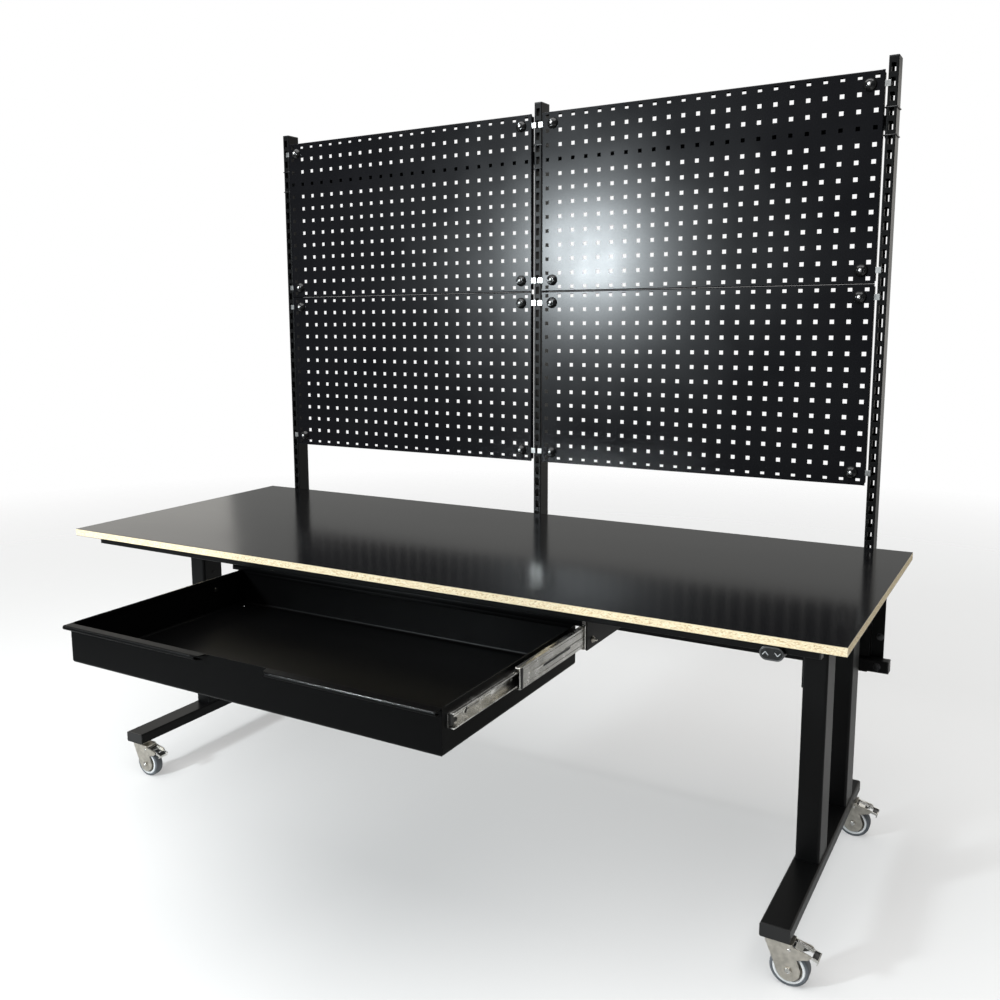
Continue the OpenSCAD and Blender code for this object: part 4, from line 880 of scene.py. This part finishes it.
# Gap shade: a black strip of painted shade under the front rail and over the drawer, from slide to slide,
# closing the gap over the tray where there is only shade
gapShade = dict(above=2.0 * mm, corner=0.8 * mm, thick=2.0 * mm, rim=0.4 * mm)
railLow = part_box("front_rail")[0]
gapShadeHigh = railLow.z - high.z - gapShade["above"]
gapShadeStrip = slab(outerBox[1].x - outerBox[0].x, gapShadeHigh, gapShade["corner"], gapShade["thick"], gapShade["rim"])
gapShadeAt = (mid(outerBox[0].x, outerBox[1].x), railLow.y + gapShade["thick"], railLow.z - gapShadeHigh / 2)
makePiece("rail_gap_shade", placed(gapShadeStrip, gapShadeAt, (0, -1, 0)), "top", "powder_coat", "tray_coat")

# Knobs: a bright domed cap in the middle of each
knobCap = dict(radius=4.2 * mm, high=3.0 * mm, below=1.0 * mm, knobRadius=15.0 * mm)
knobLow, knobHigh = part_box("panel_knobs")
upperLow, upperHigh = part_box("upper_right_panel")
lowerLow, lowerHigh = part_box("lower_right_panel")
panelX = mid(upperLow.x, upperHigh.x)
upperZ, lowerZ = mid(upperLow.z, upperHigh.z), mid(lowerLow.z, lowerHigh.z)
reachX = knobHigh.x - knobCap["knobRadius"] - panelX
reachZ = knobHigh.z - knobCap["knobRadius"] - upperZ
cap = domeHead(knobCap["radius"], knobCap["high"], np.pi / 2, rows=9, steps=28)
caps = [placed(cap, (side * panelX + sx * reachX, knobLow.y + knobCap["below"], z + sz * reachZ), (0, -1, 0))
        for side in (-1, 1) for z in (upperZ, lowerZ) for sx in (-1, 1) for sz in (-1, 1)]
makePiece("knob_caps", joined(caps), "top", "bright_zinc", "cap_steel")
print("trim and knob caps")

# Frame: bolts of the upright brackets and the lower crossbar, and the worktop's screws from below
frameBolt = dict(head=sizes(6.5, 4, 9), side=38.0 * mm, below=24.0 * mm, above=52.0 * mm, plateThick=3.0 * mm,
                 uprightWide=22.0 * mm, screw=sizes(4, 2.2), screwX=(-0.80, -0.62, -0.20, 0.25, 0.66, 0.80))
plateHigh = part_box("upright_brackets")[1]
barLow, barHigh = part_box("lower_crossbar")
uprightLow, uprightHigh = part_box("uprights")
plateFront = uprightLow.y - frameBolt["plateThick"]
pitch = (uprightHigh.x - uprightLow.x - frameBolt["uprightWide"]) / 2
boltRows = [(plateFront, plateHigh.z - frameBolt["below"]), (plateFront, barHigh.z + frameBolt["above"]),
            (barLow.y, mid(barLow.z, barHigh.z))]
bolts = [placed(hexHead(*frameBolt["head"]), (x + side * frameBolt["side"], y, z), (0, -1, 0))
         for x in (-pitch, 0.0, pitch) for side in (-1, 1) for y, z in boltRows]
makePiece("bracket_bolts", joined(bolts), "top", "black_zinc")
screws = [placed(screwShape(*frameBolt["screw"]), (x, mid(low.y, high.y), low.z), (0, 0, -1))
          for low, high in (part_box("front_rail"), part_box("rear_rail")) for x in frameBolt["screwX"]]
makePiece("worktop_screws", joined(screws), "top", "zinc")
print("frame bolts")

# Control box: cooling ribs along its underside and its four screws
controlBox = dict(ribs=7, rib=sizes(150, 3, 0.9, 0.3), margin=18.0 * mm, screw=sizes(3, 1.4), inset=9.0 * mm)
low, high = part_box("control_box")
ribs = [placed(roundStrip(*controlBox["rib"]), (mid(low.x, high.x), y, low.z), (0, 0, -1))
        for y in np.linspace(low.y + controlBox["margin"], high.y - controlBox["margin"], controlBox["ribs"])]
makePiece("control_ribs", joined(ribs), "top", "black_plastic")
screws = [placed(screwShape(*controlBox["screw"]), (x, y, low.z), (0, 0, -1))
          for x in (low.x + controlBox["inset"], high.x - controlBox["inset"])
          for y in (low.y + controlBox["inset"], high.y - controlBox["inset"])]
makePiece("control_screws", joined(screws), "top", "black_zinc")
print("control box")

# Studio: pale floor that fades into white, surroundings dim in front and brighter at the back, a window to
# the left behind the camera, a soft box above and two behind the table
studio = dict(floor=(0.86, 0.86, 0.85), floorSize=16.0, floorRoughness=0.85, fade=(2.0, 6.0), solid=0.62,
              front=(0.075, 0.078, 0.085), rear=(0.34, 0.34, 0.33), frontRear=(-0.25, 0.55),
              white=(1.0, 1.0, 1.0))
lights = {
    "window": dict(place=(-1.54, -3.19, 1.66), aim=(0.204, 0.61, 1.40), size=(0.30, 0.38), power=118.0,
                   colour=(0.88, 0.96, 1.0)),
    "top box": dict(place=(0.0, -1.0, 4.5), aim=(0.0, 0.0, 0.0), size=(6.0, 5.0), power=300.0,
                    colour=(1.0, 1.0, 1.0)),
    "left box": dict(place=(-6.5, 3.6, 2.0), aim=(0.0, 0.2, 0.8), size=(3.6, 3.4), power=22.0,
                     colour=(1.0, 0.97, 0.91)),
    "right box": dict(place=(2.6, 6.5, 1.6), aim=(0.6, 0.0, 0.8), size=(3.0, 3.0), power=24.0,
                      colour=(1.0, 0.97, 0.91)),
}


def aimed(obj, place, aim):
    forward = np.array(aim, float) - np.array(place, float)
    forward /= np.linalg.norm(forward)
    right = np.cross(forward, (0, 0, 1))
    right /= np.linalg.norm(right)
    matrix = np.eye(4)
    matrix[:3] = np.column_stack([right, np.cross(right, forward), -forward, place])
    obj.matrix_world = mathutils.Matrix(matrix.tolist())


def makeFloor(s):
    size = s["floorSize"] / 2
    mesh = bpy.data.meshes.new("floor")
    corners = [(-size, -size, 0), (size, -size, 0), (size, size, 0), (-size, size, 0)]
    mesh.from_pydata(corners, [], [(0, 1, 2, 3)])
    floor = bpy.data.objects.new("floor", mesh)
    scene.collection.objects.link(floor)
    f = newFinish("pale floor")
    away = f.node("ShaderNodeVectorMath", {"operation": "LENGTH"}, "Value", Vector=f.place)
    f.set(Base_Color=(*s["floor"], 1.0), Roughness=s["floorRoughness"])
    f.set(Alpha=s["solid"] * (1.0 - f.step(away, *s["fade"])))
    mesh.materials.append(f.material)


def makeLights():
    for name, light in lights.items():
        data = bpy.data.lights.new(name, "AREA")
        data.shape = "RECTANGLE"
        data.size, data.size_y = light["size"]
        data.energy = light["power"]
        data.color = light["colour"]
        obj = bpy.data.objects.new(name, data)
        scene.collection.objects.link(obj)
        aimed(obj, light["place"], light["aim"])


def makeWorld(s):
    world = bpy.data.worlds.new("studio")
    scene.world = world
    f = Finish(world, "Background", "Generated")
    lit = f.mix(f.step(f.along("Y"), *s["frontRear"]), s["front"], s["rear"])
    f.set(Color=f.mix(f.node("ShaderNodeLightPath", output="Is Camera Ray"), lit, s["white"]))
    scene.view_settings.view_transform = "Standard"


makeFloor(studio)
makeLights()
makeWorld(studio)
print("studio")
